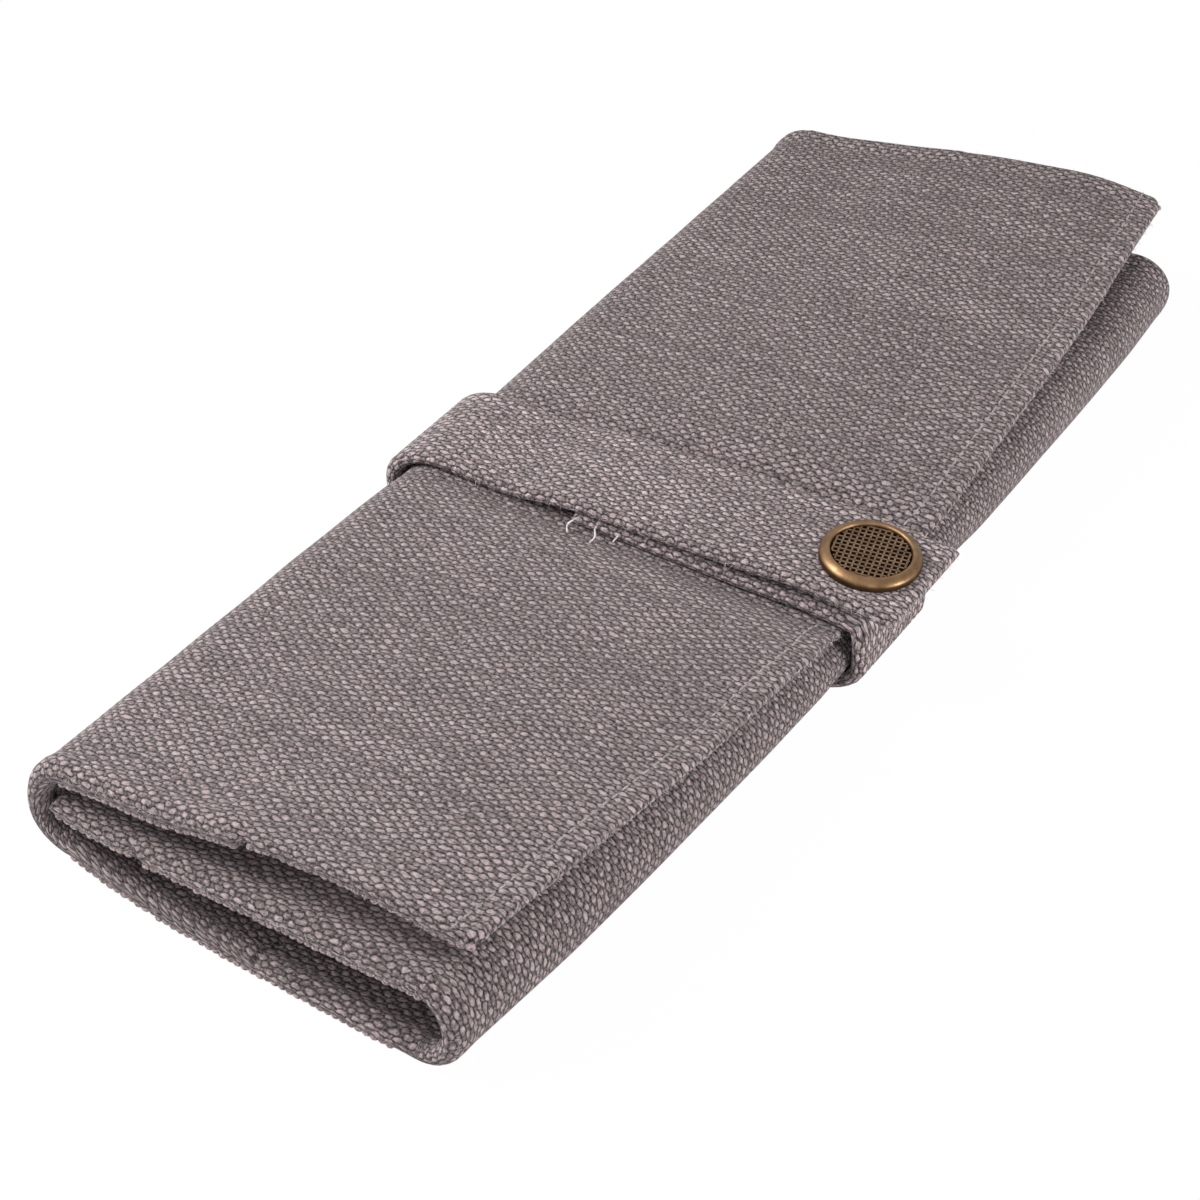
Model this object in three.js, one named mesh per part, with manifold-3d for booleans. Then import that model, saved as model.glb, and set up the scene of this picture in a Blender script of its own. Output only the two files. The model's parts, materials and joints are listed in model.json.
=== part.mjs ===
// Watch strap roll: a canvas mat folded in three, held shut by a canvas belt with one snap.
// Millimetres, +Z up, X across the folds (flap's free edge at +X), Y along the roll.
import * as THREE from 'three';
import { mergeVertices } from 'three/addons/utils/BufferGeometryUtils.js';
import Module from 'manifold-3d';

// Mat
const ROLL_LENGTH = 230;
const ROLL_WIDTH = 89;
const CANVAS = 1.3;
const LINING = 1.1;
const GAP = 0.3;
const SPLIT = 0.1;
// Folds: heights under the belt, and how much taller they stand at the ends
const LEFT_FOLD_HEIGHT = 17.4;
const LEFT_NEAR_RISE = 5.3;
const LEFT_FAR_RISE = 3.6;
const LEFT_FOLD_REACH = 8.4;
const LEFT_SPLIT = 11.6;
const RIGHT_FOLD_HEIGHT = 13.6;
const RIGHT_END_RISE = 3.4;
const RIGHT_FOLD_REACH = 6.8;
const RIGHT_SPLIT = 8.5;
const NEAR_BOW = 6.5;
const FAR_BOW = 1.2;
const NEAR_FLARE = 3.4;
const FAR_FLARE = 2.6;
// Flap: a long, slightly bowed free edge whose corners stand up at both ends
const FLAP_OVER = 0.5;
const FLAP_END_DRAW = 5.8;
const FLAP_BELT_DRAW = 1.6;
const FLAP_SAG = 2.1;
const NEAR_CURL = [0, 2, 4, 6, 6.8, 5.6];
const FAR_CURL = [0, 2, 5, 6.8, 7.6, 7.9];
const FLAP_LINING_SHARE = 0.45;
const NOTCH_SIDE = 5.6;
const NOTCH_SLANT = 2.4;
const NOTCH_CLEAR = 1;
// Inner panel, measured from the left fold's outside
const INNER_SLOPE = 0.049;
const INNER_STEP_INSET = 22.5;
const INNER_TIP_INSET = 5.5;
// Strap sleeves on the base
const SLEEVES = 3;
const SLEEVE_RISE = 4.5;
const SLEEVE_PRESSED = 1.2;
const SLEEVE_SETBACK = 16;
const SEAM_WIDTH = 0.8;
const SEAM_HEIGHT = 0.5;
// Belt
const STRAP = 2.1;
const STRAP_WIDTH = 22.8;
const STRAP_Y = -6;
const STRAP_SLACK = 0.5;
const STRAP_HINGE_REACH = 3;
const TAIL_LENGTH = 50;
const STRAP_OVERHANG = 10.7;
// Snap
const SNAP_INSET = 3;
const SNAP_RIDE = 0.5;
const SNAP_TILT = THREE.MathUtils.degToRad(5);
const SNAP_HEIGHT = 1.9;
const CAP_RADIUS = 8.5;
const CAP_HEIGHT = 2.2;
const INSERT_RADIUS = 6.05;
const STUD_FLANGE = 4.2;
const EYELET_FLANGE = 3.1;

const wasm = await Module();
wasm.setup();

const half = ROLL_LENGTH / 2;
const leftX = -ROLL_WIDTH / 2 + LEFT_FOLD_REACH;
const rightX = ROLL_WIDTH / 2 - RIGHT_FOLD_REACH;
const innerStep = -ROLL_WIDTH / 2 + INNER_STEP_INSET;
const innerTip = -ROLL_WIDTH / 2 + INNER_TIP_INSET;
const snapX = ROLL_WIDTH / 2 - SNAP_INSET;
const tailEnd = snapX - TAIL_LENGTH;
const strapRight = ROLL_WIDTH / 2 + STRAP_SLACK + STRAP;
const pocketHalf = half - SLEEVE_SETBACK;
const strapSide = STRAP_WIDTH / 2;
const strapRise = STRAP + GAP;
const strapNear = STRAP_Y - strapSide;
const strapFar = STRAP_Y + strapSide;

// Stations along the roll, closer together beside the belt
const stations = [
  -half, -half * 0.84, -half * 0.66, -half * 0.46, strapNear - 14, strapNear - 7, strapNear - 1.2,
  strapFar + 1.2, strapFar + 7, strapFar + 14, half * 0.46, half * 0.66, half * 0.84, half,
];

// How far a place lies outside the belt's edges
const beside = (y) => Math.max(0, Math.abs(y - STRAP_Y) - strapSide - 1.2);
// The base rides up over the belt's run below it
const hump = (y) => strapRise * Math.max(0, 1 - beside(y) / 5.8);
// The right fold is drawn in towards the ends
const bow = (y) => (y < 0 ? NEAR_BOW : FAR_BOW) * (y / half) ** 2;
// The base and the inner panel reach past the flap at the right of both ends
const flare = (x, y) => {
  const share = Math.min(1, Math.max(0, (x - leftX) / (rightX - leftX)));
  return (y < 0 ? NEAR_FLARE : FAR_FLARE) * share * (y / half) ** 3;
};
// Share of the ends' lift that has been reached
const lifted = (y) => {
  const d = beside(y);
  const reach = half - Math.sign(y - STRAP_Y) * STRAP_Y - strapSide - 1.2;
  return d === 0 ? 0 : 0.3 * (1 - Math.exp(-d / 6)) + 0.7 * Math.min(1, d / reach);
};
const leftTop = (y) => LEFT_FOLD_HEIGHT + lifted(y) * (y < STRAP_Y ? LEFT_NEAR_RISE : LEFT_FAR_RISE);
const rightTop = (y) => RIGHT_FOLD_HEIGHT + lifted(y) * RIGHT_END_RISE;
// The sleeves are pressed flat under the belt
const sleeveOpen = (y) => SLEEVE_PRESSED + (SLEEVE_RISE - SLEEVE_PRESSED) * Math.min(1, beside(y) / 12.8);

const mix = (a, b, t) => a + (b - a) * t;
const along = (list, t) => {
  const at = Math.min(list.length - 1.000001, Math.max(0, t * (list.length - 1)));
  const i = Math.floor(at);
  return mix(list[i], list[i + 1], at - i);
};

// A closed solid from two matching rows of [x, z] at each station
function sheet(ys, rows, skew = () => 0) {
  const position = [];
  const index = [];
  const n = rows(ys[0])[0].length;
  const ring = 2 * n;
  for (const y of ys) {
    const [outer, inner] = rows(y);
    for (const [x, z] of [...outer, ...inner.slice().reverse()]) position.push(x, y + skew(x, y), z);
  }
  for (let s = 0; s + 1 < ys.length; s++) {
    for (let i = 0; i < ring; i++) {
      const a = s * ring + i;
      const b = s * ring + ((i + 1) % ring);
      index.push(a, b, b + ring, a, b + ring, a + ring);
    }
  }
  const last = (ys.length - 1) * ring;
  for (let i = 0; i + 1 < n; i++) {
    const j = ring - 1 - i;
    index.push(i + 1, i, j, i + 1, j, j - 1);
    index.push(last + i, last + i + 1, last + j, last + i + 1, last + j - 1, last + j);
  }
  const geometry = new THREE.BufferGeometry();
  geometry.setAttribute('position', new THREE.Float32BufferAttribute(position, 3));
  geometry.setIndex(index);
  return outward(geometry);
}

// Turns the faces out where the volume comes out negative
function outward(geometry) {
  const p = geometry.getAttribute('position');
  const index = geometry.getIndex();
  const a = new THREE.Vector3();
  const b = new THREE.Vector3();
  const c = new THREE.Vector3();
  let volume = 0;
  for (let i = 0; i < index.count; i += 3) {
    a.fromBufferAttribute(p, index.getX(i));
    b.fromBufferAttribute(p, index.getX(i + 1));
    c.fromBufferAttribute(p, index.getX(i + 2));
    volume += a.dot(b.cross(c));
  }
  if (volume < 0) {
    for (let i = 0; i < index.count; i += 3) {
      const keep = index.getX(i + 1);
      index.setX(i + 1, index.getX(i + 2));
      index.setX(i + 2, keep);
    }
  }
  geometry.computeVertexNormals();
  return geometry;
}

// Row of points at a distance to the left of a path
function offset(path, distance) {
  return path.map(([x, z], i) => {
    const before = path[Math.max(0, i - 1)];
    const after = path[Math.min(path.length - 1, i + 1)];
    const u = new THREE.Vector2(x - before[0], z - before[1]).normalize();
    const v = new THREE.Vector2(after[0] - x, after[1] - z).normalize();
    if (i === 0) u.copy(v);
    if (i === path.length - 1) v.copy(u);
    const w = u.clone().add(v).normalize();
    const reach = distance / w.dot(u);
    return [x - w.y * reach, z + w.x * reach];
  });
}

const ARC = 6;
const quarter = (from) => Array.from({ length: ARC + 1 }, (_, i) => mix(from, Math.PI / 2, i / ARC));
const startOf = (b) => Math.asin(SPLIT / b);

// Lower halves of both folds with the flat run between them, drawn in by a depth
function baseRow(y, depth, middle) {
  const x = rightX - bow(y);
  const ra = RIGHT_FOLD_REACH - depth;
  const rb = RIGHT_SPLIT - hump(y) - depth;
  const lb = LEFT_SPLIT - hump(y) - depth;
  const la = LEFT_FOLD_REACH - depth;
  const right = quarter(startOf(rb)).map((a) => [x + ra * Math.cos(a), RIGHT_SPLIT - rb * Math.sin(a)]);
  const left = quarter(startOf(lb)).reverse()
    .map((a) => [leftX - la * Math.cos(a), LEFT_SPLIT - lb * Math.sin(a)]);
  return [...right, ...middle(x), ...left];
}

const baseCanvas = sheet(stations, (y) => [
  baseRow(y, 0, () => []),
  baseRow(y, CANVAS, () => []),
], flare);

// Strap sleeves: each rises from its seams to a flat top
const sleeveShape = [
  [0.04, 0], [0.08, 0.6], [0.13, 0.93], [0.19, 1],
  [0.81, 1], [0.87, 0.93], [0.92, 0.6], [0.96, 0],
];
function sleeves(y, floor) {
  return (x) => {
    const row = [];
    for (let k = SLEEVES - 1; k >= 0; k--) {
      for (const [share, rise] of sleeveShape.slice().reverse()) {
        row.push([mix(leftX, x, (k + share) / SLEEVES), floor + hump(y) + rise * sleeveOpen(y)]);
      }
    }
    return row;
  };
}
const pocketFloor = CANVAS + GAP;
const pocketMid = stations.filter((y) => Math.abs(y) < pocketHalf - 5);
const basePocket = sheet([-pocketHalf, ...pocketMid, pocketHalf], (y) => [
  baseRow(y, pocketFloor, sleeves(y, pocketFloor)),
  baseRow(y, pocketFloor + LINING, sleeves(y, pocketFloor + LINING)),
], flare);

// Thread of each seam that divides the sleeves
function dividerSeam(k) {
  const floor = pocketFloor + LINING + 0.15;
  return sheet([2 - pocketHalf, ...pocketMid, pocketHalf - 2], (y) => {
    const x = mix(leftX, rightX - bow(y), k / SLEEVES);
    const z = floor + hump(y);
    const row = (level) => [[x - SEAM_WIDTH / 2, level], [x + SEAM_WIDTH / 2, level]];
    return [row(z), row(z + SEAM_HEIGHT)];
  }, flare);
}

// Flap: upper part of the left fold, then a run that climbs towards the ends
const FLAP_STEPS = 10;
const flapEdge = (y) => ROLL_WIDTH / 2 + FLAP_OVER - FLAP_END_DRAW * (y / half) ** 2
  - FLAP_BELT_DRAW * Math.max(0, 1 - beside(y) / 12);
const flapTop = (x, y) => {
  const share = (x - leftX) / (flapEdge(y) - leftX);
  return leftTop(y) - FLAP_SAG * share + lifted(y) * along(y < STRAP_Y ? NEAR_CURL : FAR_CURL, share);
};
// A cut-out in the free edge, hidden by the belt, leaves room for the back of the snap
const notchX = snapX - EYELET_FLANGE - NOTCH_CLEAR;
const notchedEdge = (y) => {
  const out = (Math.abs(y - STRAP_Y) - NOTCH_SIDE) / NOTCH_SLANT;
  return mix(notchX, flapEdge(y), Math.min(1, Math.max(0, out)));
};
function flapRow(y, depth, share, edge) {
  const a = LEFT_FOLD_REACH - depth;
  const b = leftTop(y) - LEFT_SPLIT - depth;
  const row = quarter(startOf(b)).map((t) => [leftX - a * Math.cos(t), LEFT_SPLIT + b * Math.sin(t)]);
  const steps = Math.round(FLAP_STEPS * share);
  for (let i = 1; i <= steps; i++) {
    const x = mix(leftX, edge(y), (share * i) / steps);
    row.push([x, flapTop(x, y) - depth]);
  }
  return row;
}
const notchYs = [-1, 1].flatMap((s) => [NOTCH_SIDE, NOTCH_SIDE + NOTCH_SLANT].map((d) => STRAP_Y + s * d));
const flapYs = [...stations, ...notchYs].sort((a, b) => a - b);
const flapCanvas = sheet(flapYs, (y) => [flapRow(y, 0, 1, notchedEdge), flapRow(y, CANVAS, 1, notchedEdge)]);
const flapPocket = sheet(stations, (y) => [
  flapRow(y, pocketFloor, FLAP_LINING_SHARE, flapEdge),
  flapRow(y, pocketFloor + LINING, FLAP_LINING_SHARE, flapEdge),
]);

// Inner panel: upper half of the right fold, then a run that falls a little to the left
const innerTop = (x, y) => rightTop(y) - INNER_SLOPE * (rightX - bow(y) - x);
function innerRow(y, depth, to) {
  const a = RIGHT_FOLD_REACH - depth;
  const b = rightTop(y) - RIGHT_SPLIT - depth;
  const x = rightX - bow(y);
  const row = quarter(startOf(b)).map((t) => [x + a * Math.cos(t), RIGHT_SPLIT + b * Math.sin(t)]);
  for (const t of [0.5, 1]) {
    const at = mix(x, to, t);
    row.push([at, innerTop(at, y) - depth]);
  }
  return row;
}
const innerCanvas = sheet(stations, (y) => [
  innerRow(y, 0, innerStep),
  innerRow(y, CANVAS, innerStep),
], flare);
const innerPocket = sheet(stations, (y) => [
  innerRow(y, pocketFloor, innerStep),
  innerRow(y, pocketFloor + LINING, innerStep),
], flare);
const innerEdge = sheet(stations, (y) => {
  const row = (depth) => [innerStep - GAP, mix(innerStep, innerTip, 0.5), innerTip]
    .map((x) => [x, innerTop(x, y) - depth]);
  return [row(0), row(CANVAS)];
}, flare);

// Belt
const strapYs = [strapNear, strapFar];
const beltRightOut = strapRight - rightX;
const beltLeftOut = LEFT_FOLD_REACH + strapRise;
const ellipse = (cx, cz, a, b, angles) => angles.map((t) => [cx + a * Math.cos(t), cz + b * Math.sin(t)]);
const strapBase = sheet(strapYs, () => {
  const run = (depth) => {
    const r = quarter(startOf(RIGHT_SPLIT - depth)).map((t) => -t);
    const l = quarter(startOf(LEFT_SPLIT - depth)).reverse().map((t) => Math.PI + t);
    return [
      ...ellipse(rightX, RIGHT_SPLIT, beltRightOut - depth, RIGHT_SPLIT - depth, r),
      ...ellipse(leftX, LEFT_SPLIT, beltLeftOut - depth, LEFT_SPLIT - depth, l),
    ];
  };
  return [run(0), run(STRAP)];
});

const strapHingeX = leftX + STRAP_HINGE_REACH;
const strapWrap = sheet(strapYs, () => {
  const run = (depth) => {
    const b = LEFT_FOLD_HEIGHT - LEFT_SPLIT + strapRise - depth;
    const l = quarter(startOf(b)).map((t) => Math.PI - t);
    return [...ellipse(leftX, LEFT_SPLIT, beltLeftOut - depth, b, l), [strapHingeX, LEFT_SPLIT + b]];
  };
  return [run(0), run(STRAP)];
});

// The snap's seat: a line on the lower end's underside, above the flap's edge and tilted to the right
const seat = new THREE.Vector2(snapX, LEFT_FOLD_HEIGHT - FLAP_SAG + SNAP_RIDE);
const seatRun = new THREE.Vector2(Math.cos(SNAP_TILT), -Math.sin(SNAP_TILT));
const seatUp = new THREE.Vector2(Math.sin(SNAP_TILT), Math.cos(SNAP_TILT));
const onSeat = (u, v) => {
  const p = seat.clone().addScaledVector(seatRun, u).addScaledVector(seatUp, v);
  return [p.x, p.y];
};
const strapSideIn = strapRight - STRAP;
const onFlap = (x) => flapTop(x, STRAP_Y) + GAP;
const tailToSnap = (share) => mix(tailEnd, snapX, share);
// The lower end runs from its tail over the flap to the seat, then round the right fold
const shoulder = onSeat(EYELET_FLANGE + GAP, 0)[1];
const studPath = [
  [tailEnd, onFlap(tailEnd)],
  [tailToSnap(0.76), onFlap(tailToSnap(0.76))],
  onSeat(-7.4, 0),
  onSeat(-EYELET_FLANGE - GAP, 0),
  onSeat(EYELET_FLANGE, 0),
  [strapSideIn - 0.12, shoulder - 0.6],
  [strapSideIn, shoulder - 2.4],
  [strapSideIn, RIGHT_SPLIT + SPLIT],
];
const upperFoot = STRAP + SNAP_HEIGHT;
const tailTop = onFlap(tailEnd) + STRAP + GAP;
const upperPath = [
  [strapHingeX + SPLIT, LEFT_FOLD_HEIGHT + GAP],
  [tailEnd - 12, onFlap(tailEnd - 12) + 0.2],
  [tailEnd - 2.5, tailTop + 0.1],
  [tailToSnap(0.25), tailTop + 0.15],
  [tailToSnap(0.5), tailTop + 0.3],
  [tailToSnap(0.72), tailTop + 0.6],
  onSeat(-8, upperFoot),
  onSeat(0, upperFoot),
  onSeat(STRAP_OVERHANG, upperFoot),
];

const solidOf = (geometry) => {
  const bare = geometry.clone();
  bare.deleteAttribute('normal');
  bare.deleteAttribute('uv');
  const merged = mergeVertices(bare, 1e-4);
  return new wasm.Manifold(new wasm.Mesh({
    numProp: 3,
    vertProperties: new Float32Array(merged.getAttribute('position').array),
    triVerts: new Uint32Array(merged.getIndex().array),
  }));
};
const geometryOf = (solid) => {
  const mesh = solid.getMesh();
  const geometry = new THREE.BufferGeometry();
  geometry.setAttribute('position', new THREE.BufferAttribute(new Float32Array(mesh.vertProperties), 3));
  geometry.setIndex(new THREE.BufferAttribute(new Uint32Array(mesh.triVerts), 1));
  geometry.computeVertexNormals();
  return geometry;
};

// The snap's own frame stands on the lower end's top face
const snapSeat = onSeat(0, STRAP);
const placeSnap = new THREE.Matrix4()
  .makeRotationY(SNAP_TILT)
  .setPosition(snapSeat[0], STRAP_Y, snapSeat[1]);
function punched(geometry, radius, low, high) {
  const drill = new THREE.CylinderGeometry(radius, radius, high - low, 20);
  drill.rotateX(Math.PI / 2).translate(0, 0, (low + high) / 2).applyMatrix4(placeSnap);
  return geometryOf(solidOf(geometry).subtract(solidOf(drill)));
}
const POST = 1.3;
const EYELET_POST = 1.1;
const strapStudEnd = punched(
  sheet(strapYs, () => [studPath, offset(studPath, STRAP)]), EYELET_POST + GAP, -STRAP - 1, 1);
const strapSnapEnd = punched(
  sheet(strapYs, () => [upperPath, offset(upperPath, STRAP)]), POST + GAP, SNAP_HEIGHT - 1, upperFoot + 1);

const turned = (profile, sides = 40) =>
  new THREE.LatheGeometry(profile.map(([r, z]) => new THREE.Vector2(r, z)), sides).rotateX(Math.PI / 2);
const low = upperFoot + 0.1;
const capTop = low + CAP_HEIGHT;
const cap = turned([
  [0, 1.1], [2, 1.1], [2, 1.3], [POST, 1.35], [POST, low], [CAP_RADIUS - 0.9, low],
  [CAP_RADIUS - 0.3, low + 0.2], [CAP_RADIUS, low + 0.8], [CAP_RADIUS - 0.1, low + 1.3],
  [CAP_RADIUS - 0.6, capTop - 0.3], [CAP_RADIUS - 1.2, capTop], [CAP_RADIUS - 1.7, capTop - 0.1],
  [INSERT_RADIUS + 0.25, capTop - 0.8], [INSERT_RADIUS + 0.25, low + 0.75], [0, low + 0.75],
], 48);
const insert = turned([
  [0, low + 0.85], [INSERT_RADIUS, low + 0.85], [INSERT_RADIUS, low + 1.2],
  [INSERT_RADIUS - 2, low + 1.4], [0, low + 1.5],
], 40);
const socketTop = SNAP_HEIGHT - 0.1;
const socketRoof = socketTop - 0.35;
const socket = turned([
  [POST + GAP, socketTop], [POST + GAP, socketRoof], [3.6, socketRoof], [3.6, 0.75], [3, 0.75], [3, 0.5],
  [5.4, 0.5], [5.6, 0.75], [5.6, socketTop - 0.4], [5.2, socketTop], [POST + GAP, socketTop],
], 32);
const stud = turned([
  [0, 0.8], [EYELET_POST + 0.25, 0.8], [EYELET_POST + 0.25, 0.1], [STUD_FLANGE, 0.1], [STUD_FLANGE, 0.3],
  [STUD_FLANGE - 0.2, 0.4], [2.2, 0.4], [2.2, 0.55], [2.45, 0.75], [2.3, 0.9], [1.9, 1], [0, 1],
], 32);
const eyelet = turned([
  [0, -STRAP - 0.7], [EYELET_FLANGE - 0.2, -STRAP - 0.7], [EYELET_FLANGE, -STRAP - 0.5],
  [EYELET_FLANGE, -STRAP - 0.1], [EYELET_POST, -STRAP - 0.1], [EYELET_POST, 0.7], [0, 0.7],
], 28);
// Split ring of spring wire that grips the stud's head
const RING_STEPS = 24;
const ringArc = new THREE.CatmullRomCurve3(Array.from({ length: RING_STEPS + 1 }, (_, i) => {
  const t = mix(0.25, 2 * Math.PI - 0.25, i / RING_STEPS);
  return new THREE.Vector3(3.2 * Math.cos(t), 3.2 * Math.sin(t), 1.08);
}));
const WIRE = 0.22;
const wire = new THREE.Shape(Array.from({ length: 6 }, (_, i) => {
  const t = (i / 6) * 2 * Math.PI;
  return new THREE.Vector2(WIRE * Math.cos(t), WIRE * Math.sin(t));
}));
const ringSweep = { steps: RING_STEPS, extrudePath: ringArc, bevelEnabled: false };
const spring = new THREE.ExtrudeGeometry(wire, ringSweep);

const canvasLook = new THREE.MeshStandardMaterial({ color: 0x766b68, roughness: 0.95, metalness: 0 });
const liningLook = new THREE.MeshStandardMaterial({ color: 0x6c625f, roughness: 0.95, metalness: 0 });
const threadLook = new THREE.MeshStandardMaterial({ color: 0x8f8683, roughness: 0.9, metalness: 0 });
const brassLook = new THREE.MeshStandardMaterial({ color: 0x6f5a34, roughness: 0.4, metalness: 1 });
const darkBrassLook = new THREE.MeshStandardMaterial({ color: 0x3a3026, roughness: 0.5, metalness: 1 });
const steelLook = new THREE.MeshStandardMaterial({ color: 0x8a8a88, roughness: 0.35, metalness: 1 });

// The frame's origin is the middle of the box, on the ground
const roll = new THREE.Group();
const rightmost = offset(upperPath, STRAP).concat(upperPath).reduce((m, p) => Math.max(m, p[0]), 0);
const leftmost = leftX - beltLeftOut;
roll.position.x = -(rightmost + leftmost) / 2;

function piece(name, geometry, material, parent = roll) {
  const mesh = new THREE.Mesh(geometry, material);
  mesh.name = name;
  parent.add(mesh);
  return mesh;
}
piece('base_canvas', baseCanvas, canvasLook);
piece('base_pocket', basePocket, liningLook);
for (let k = 0; k <= SLEEVES; k++) piece(`divider_seam_${k + 1}`, dividerSeam(k), threadLook);
piece('strap_base', strapBase, canvasLook);
piece('flap_canvas', flapCanvas, canvasLook);
piece('flap_pocket', flapPocket, liningLook);
piece('strap_wrap', strapWrap, canvasLook);
piece('inner_canvas', innerCanvas, canvasLook);
piece('inner_pocket', innerPocket, liningLook);
piece('inner_edge', innerEdge, canvasLook);
piece('strap_snap_end', strapSnapEnd, canvasLook);
piece('strap_stud_end', strapStudEnd, canvasLook);

const snap = new THREE.Group();
snap.position.set(snapSeat[0], STRAP_Y, snapSeat[1]);
snap.rotation.y = SNAP_TILT;
roll.add(snap);
piece('snap_cap', cap, brassLook, snap);
piece('snap_cap_insert', insert, darkBrassLook, snap);
piece('snap_socket', socket, brassLook, snap);
piece('snap_spring', spring, steelLook, snap);
piece('snap_stud', stud, brassLook, snap);
piece('snap_eyelet', eyelet, brassLook, snap);

export default roll;
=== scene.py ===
# %% [markdown]
# # A canvas watch strap roll, dressed on its solids
# The real roll is one mat of heavy plain-weave canvas with a lining sewn inside it. It is folded in three
# like a letter, and a canvas belt goes round the middle and closes with one brass snap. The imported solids
# give every place and every joint. This script lays real cloth over them, sews the stitches, turns the
# snap's parts on their axis and lights the result.

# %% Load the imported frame
import json
import math
from functools import partial

import bmesh
import bpy
import numpy as np
from mathutils import Matrix, Vector, noise


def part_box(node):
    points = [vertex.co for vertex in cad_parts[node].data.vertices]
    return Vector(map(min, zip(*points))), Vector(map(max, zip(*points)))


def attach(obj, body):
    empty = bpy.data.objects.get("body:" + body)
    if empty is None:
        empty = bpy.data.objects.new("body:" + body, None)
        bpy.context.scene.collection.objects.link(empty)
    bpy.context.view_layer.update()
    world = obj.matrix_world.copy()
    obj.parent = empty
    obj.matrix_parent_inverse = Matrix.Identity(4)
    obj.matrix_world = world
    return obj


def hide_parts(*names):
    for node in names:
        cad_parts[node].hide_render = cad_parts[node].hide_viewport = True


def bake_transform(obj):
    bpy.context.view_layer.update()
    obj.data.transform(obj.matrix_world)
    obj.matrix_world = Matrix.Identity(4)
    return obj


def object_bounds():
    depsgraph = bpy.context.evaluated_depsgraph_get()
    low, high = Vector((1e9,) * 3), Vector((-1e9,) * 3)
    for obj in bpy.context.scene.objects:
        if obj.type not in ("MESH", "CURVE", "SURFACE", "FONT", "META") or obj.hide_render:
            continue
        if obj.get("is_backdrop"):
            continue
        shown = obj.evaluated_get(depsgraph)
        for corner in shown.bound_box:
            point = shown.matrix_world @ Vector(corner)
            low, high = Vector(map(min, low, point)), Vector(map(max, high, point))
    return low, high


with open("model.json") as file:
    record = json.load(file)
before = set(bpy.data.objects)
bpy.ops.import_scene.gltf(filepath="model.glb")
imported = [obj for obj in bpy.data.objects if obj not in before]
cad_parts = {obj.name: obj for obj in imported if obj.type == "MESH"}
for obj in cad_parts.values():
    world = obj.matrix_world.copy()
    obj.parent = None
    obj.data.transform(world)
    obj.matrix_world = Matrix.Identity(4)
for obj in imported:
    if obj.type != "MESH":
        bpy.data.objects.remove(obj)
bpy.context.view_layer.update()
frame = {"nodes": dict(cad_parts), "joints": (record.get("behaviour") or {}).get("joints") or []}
joints = {joint["name"]: joint for joint in frame["joints"]}

# %% [markdown]
# ## The camera
# The photograph looks down on the roll from its near end, a little to the right of its length. A long lens
# keeps the two ends close in size. The camera is placed by an azimuth, an elevation and a distance from one
# point on the roll, because these three numbers are what is read off the picture.

# %% Place the camera
MM = 0.001
AZIMUTH = 33.6
ELEVATION = 38.21
ROLL = -1.47
DISTANCE = 490.4 * MM
FOCAL_PIXELS = 2849
IMAGE_PIXELS = 1200
SENSOR = 36.0
AIM = Vector((-8.07, -14.31, 0.0)) * MM

azimuth = math.radians(AZIMUTH)
elevation = math.radians(ELEVATION)
back = Vector((
    math.sin(azimuth) * math.cos(elevation),
    -math.cos(azimuth) * math.cos(elevation),
    math.sin(elevation),
))
camera_data = bpy.data.cameras.new("camera")
camera_data.sensor_width = SENSOR
camera_data.lens = SENSOR * FOCAL_PIXELS / IMAGE_PIXELS
camera_data.clip_start = 0.01
camera_data.clip_end = 20.0
camera = bpy.data.objects.new("camera", camera_data)
bpy.context.scene.collection.objects.link(camera)
facing = (-back).to_track_quat("-Z", "Y").to_matrix().to_4x4()
turn = Matrix.Rotation(math.radians(ROLL), 4, "Z")
camera.matrix_world = Matrix.Translation(AIM + back * DISTANCE) @ facing @ turn
bpy.context.scene.camera = camera
print("lens", round(camera_data.lens, 1), "mm")

# %% [markdown]
# ## The measures of the folded mat
# All cloth follows the same few measures as the solids: two folds that grow taller towards the ends, a hump
# where the base rides over the belt, a right fold that is drawn in at both ends and a flap whose corners
# stand up. They are kept in millimetres from the middle of the mat, and turned to metres only when a mesh is
# made.

# %% Measures in millimetres
base_low, base_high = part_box("base_canvas")
flap_low, flap_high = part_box("flap_canvas")
MIDDLE = (base_low.x + base_high.x) / 2 / MM
HALF = (flap_high.y - flap_low.y) / 2 / MM
WIDTH = (base_high.x - base_low.x) / MM
SPLIT = joints["flap_fold"]["pos_m"][2] / MM
RIGHT_SPLIT = joints["inner_fold"]["pos_m"][2] / MM
LEFT_REACH = 8.4
RIGHT_REACH = 6.8
LEFT_X = -WIDTH / 2 + LEFT_REACH
RIGHT_X = WIDTH / 2 - RIGHT_REACH
FOLD_TOP = 17.4
FOLD_RISE = {"near": 5.3, "far": 3.6}
RIGHT_TOP = 13.6
RIGHT_RISE = {"near": 3.4, "far": 0.8}
RIGHT_ROUND = 12.0
ROUND_FADE = {"near": 75, "far": 28}
END_BOW = {"near": 6.5, "far": 1.8}
END_FLARE = {"near": 3.6, "far": 0.2}
NEAR_LIFT = 4.2
QUICK_LIFT = 0.3
QUICK_FADE = 6
CANVAS = 1.3
LINING = 1.1
GAP = 0.3
belt_low, belt_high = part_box("strap_wrap")
BELT_Y = (belt_low.y + belt_high.y) / 2 / MM
BELT_SIDE = (belt_high.y - belt_low.y) / 2 / MM
BELT_NEAR = BELT_Y - BELT_SIDE
BELT_FAR = BELT_Y + BELT_SIDE
BELT_MARGIN = 1.2
BELT = 2.1
BELT_RISE = BELT + GAP
HUMP_FADE = 5.8
FLAP_OVER = 0.5
FLAP_END_DRAW = 5.8
FLAP_BELT_DRAW = 1.6
FLAP_BELT_FADE = 12
FLAP_SAG = 2.1
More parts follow.
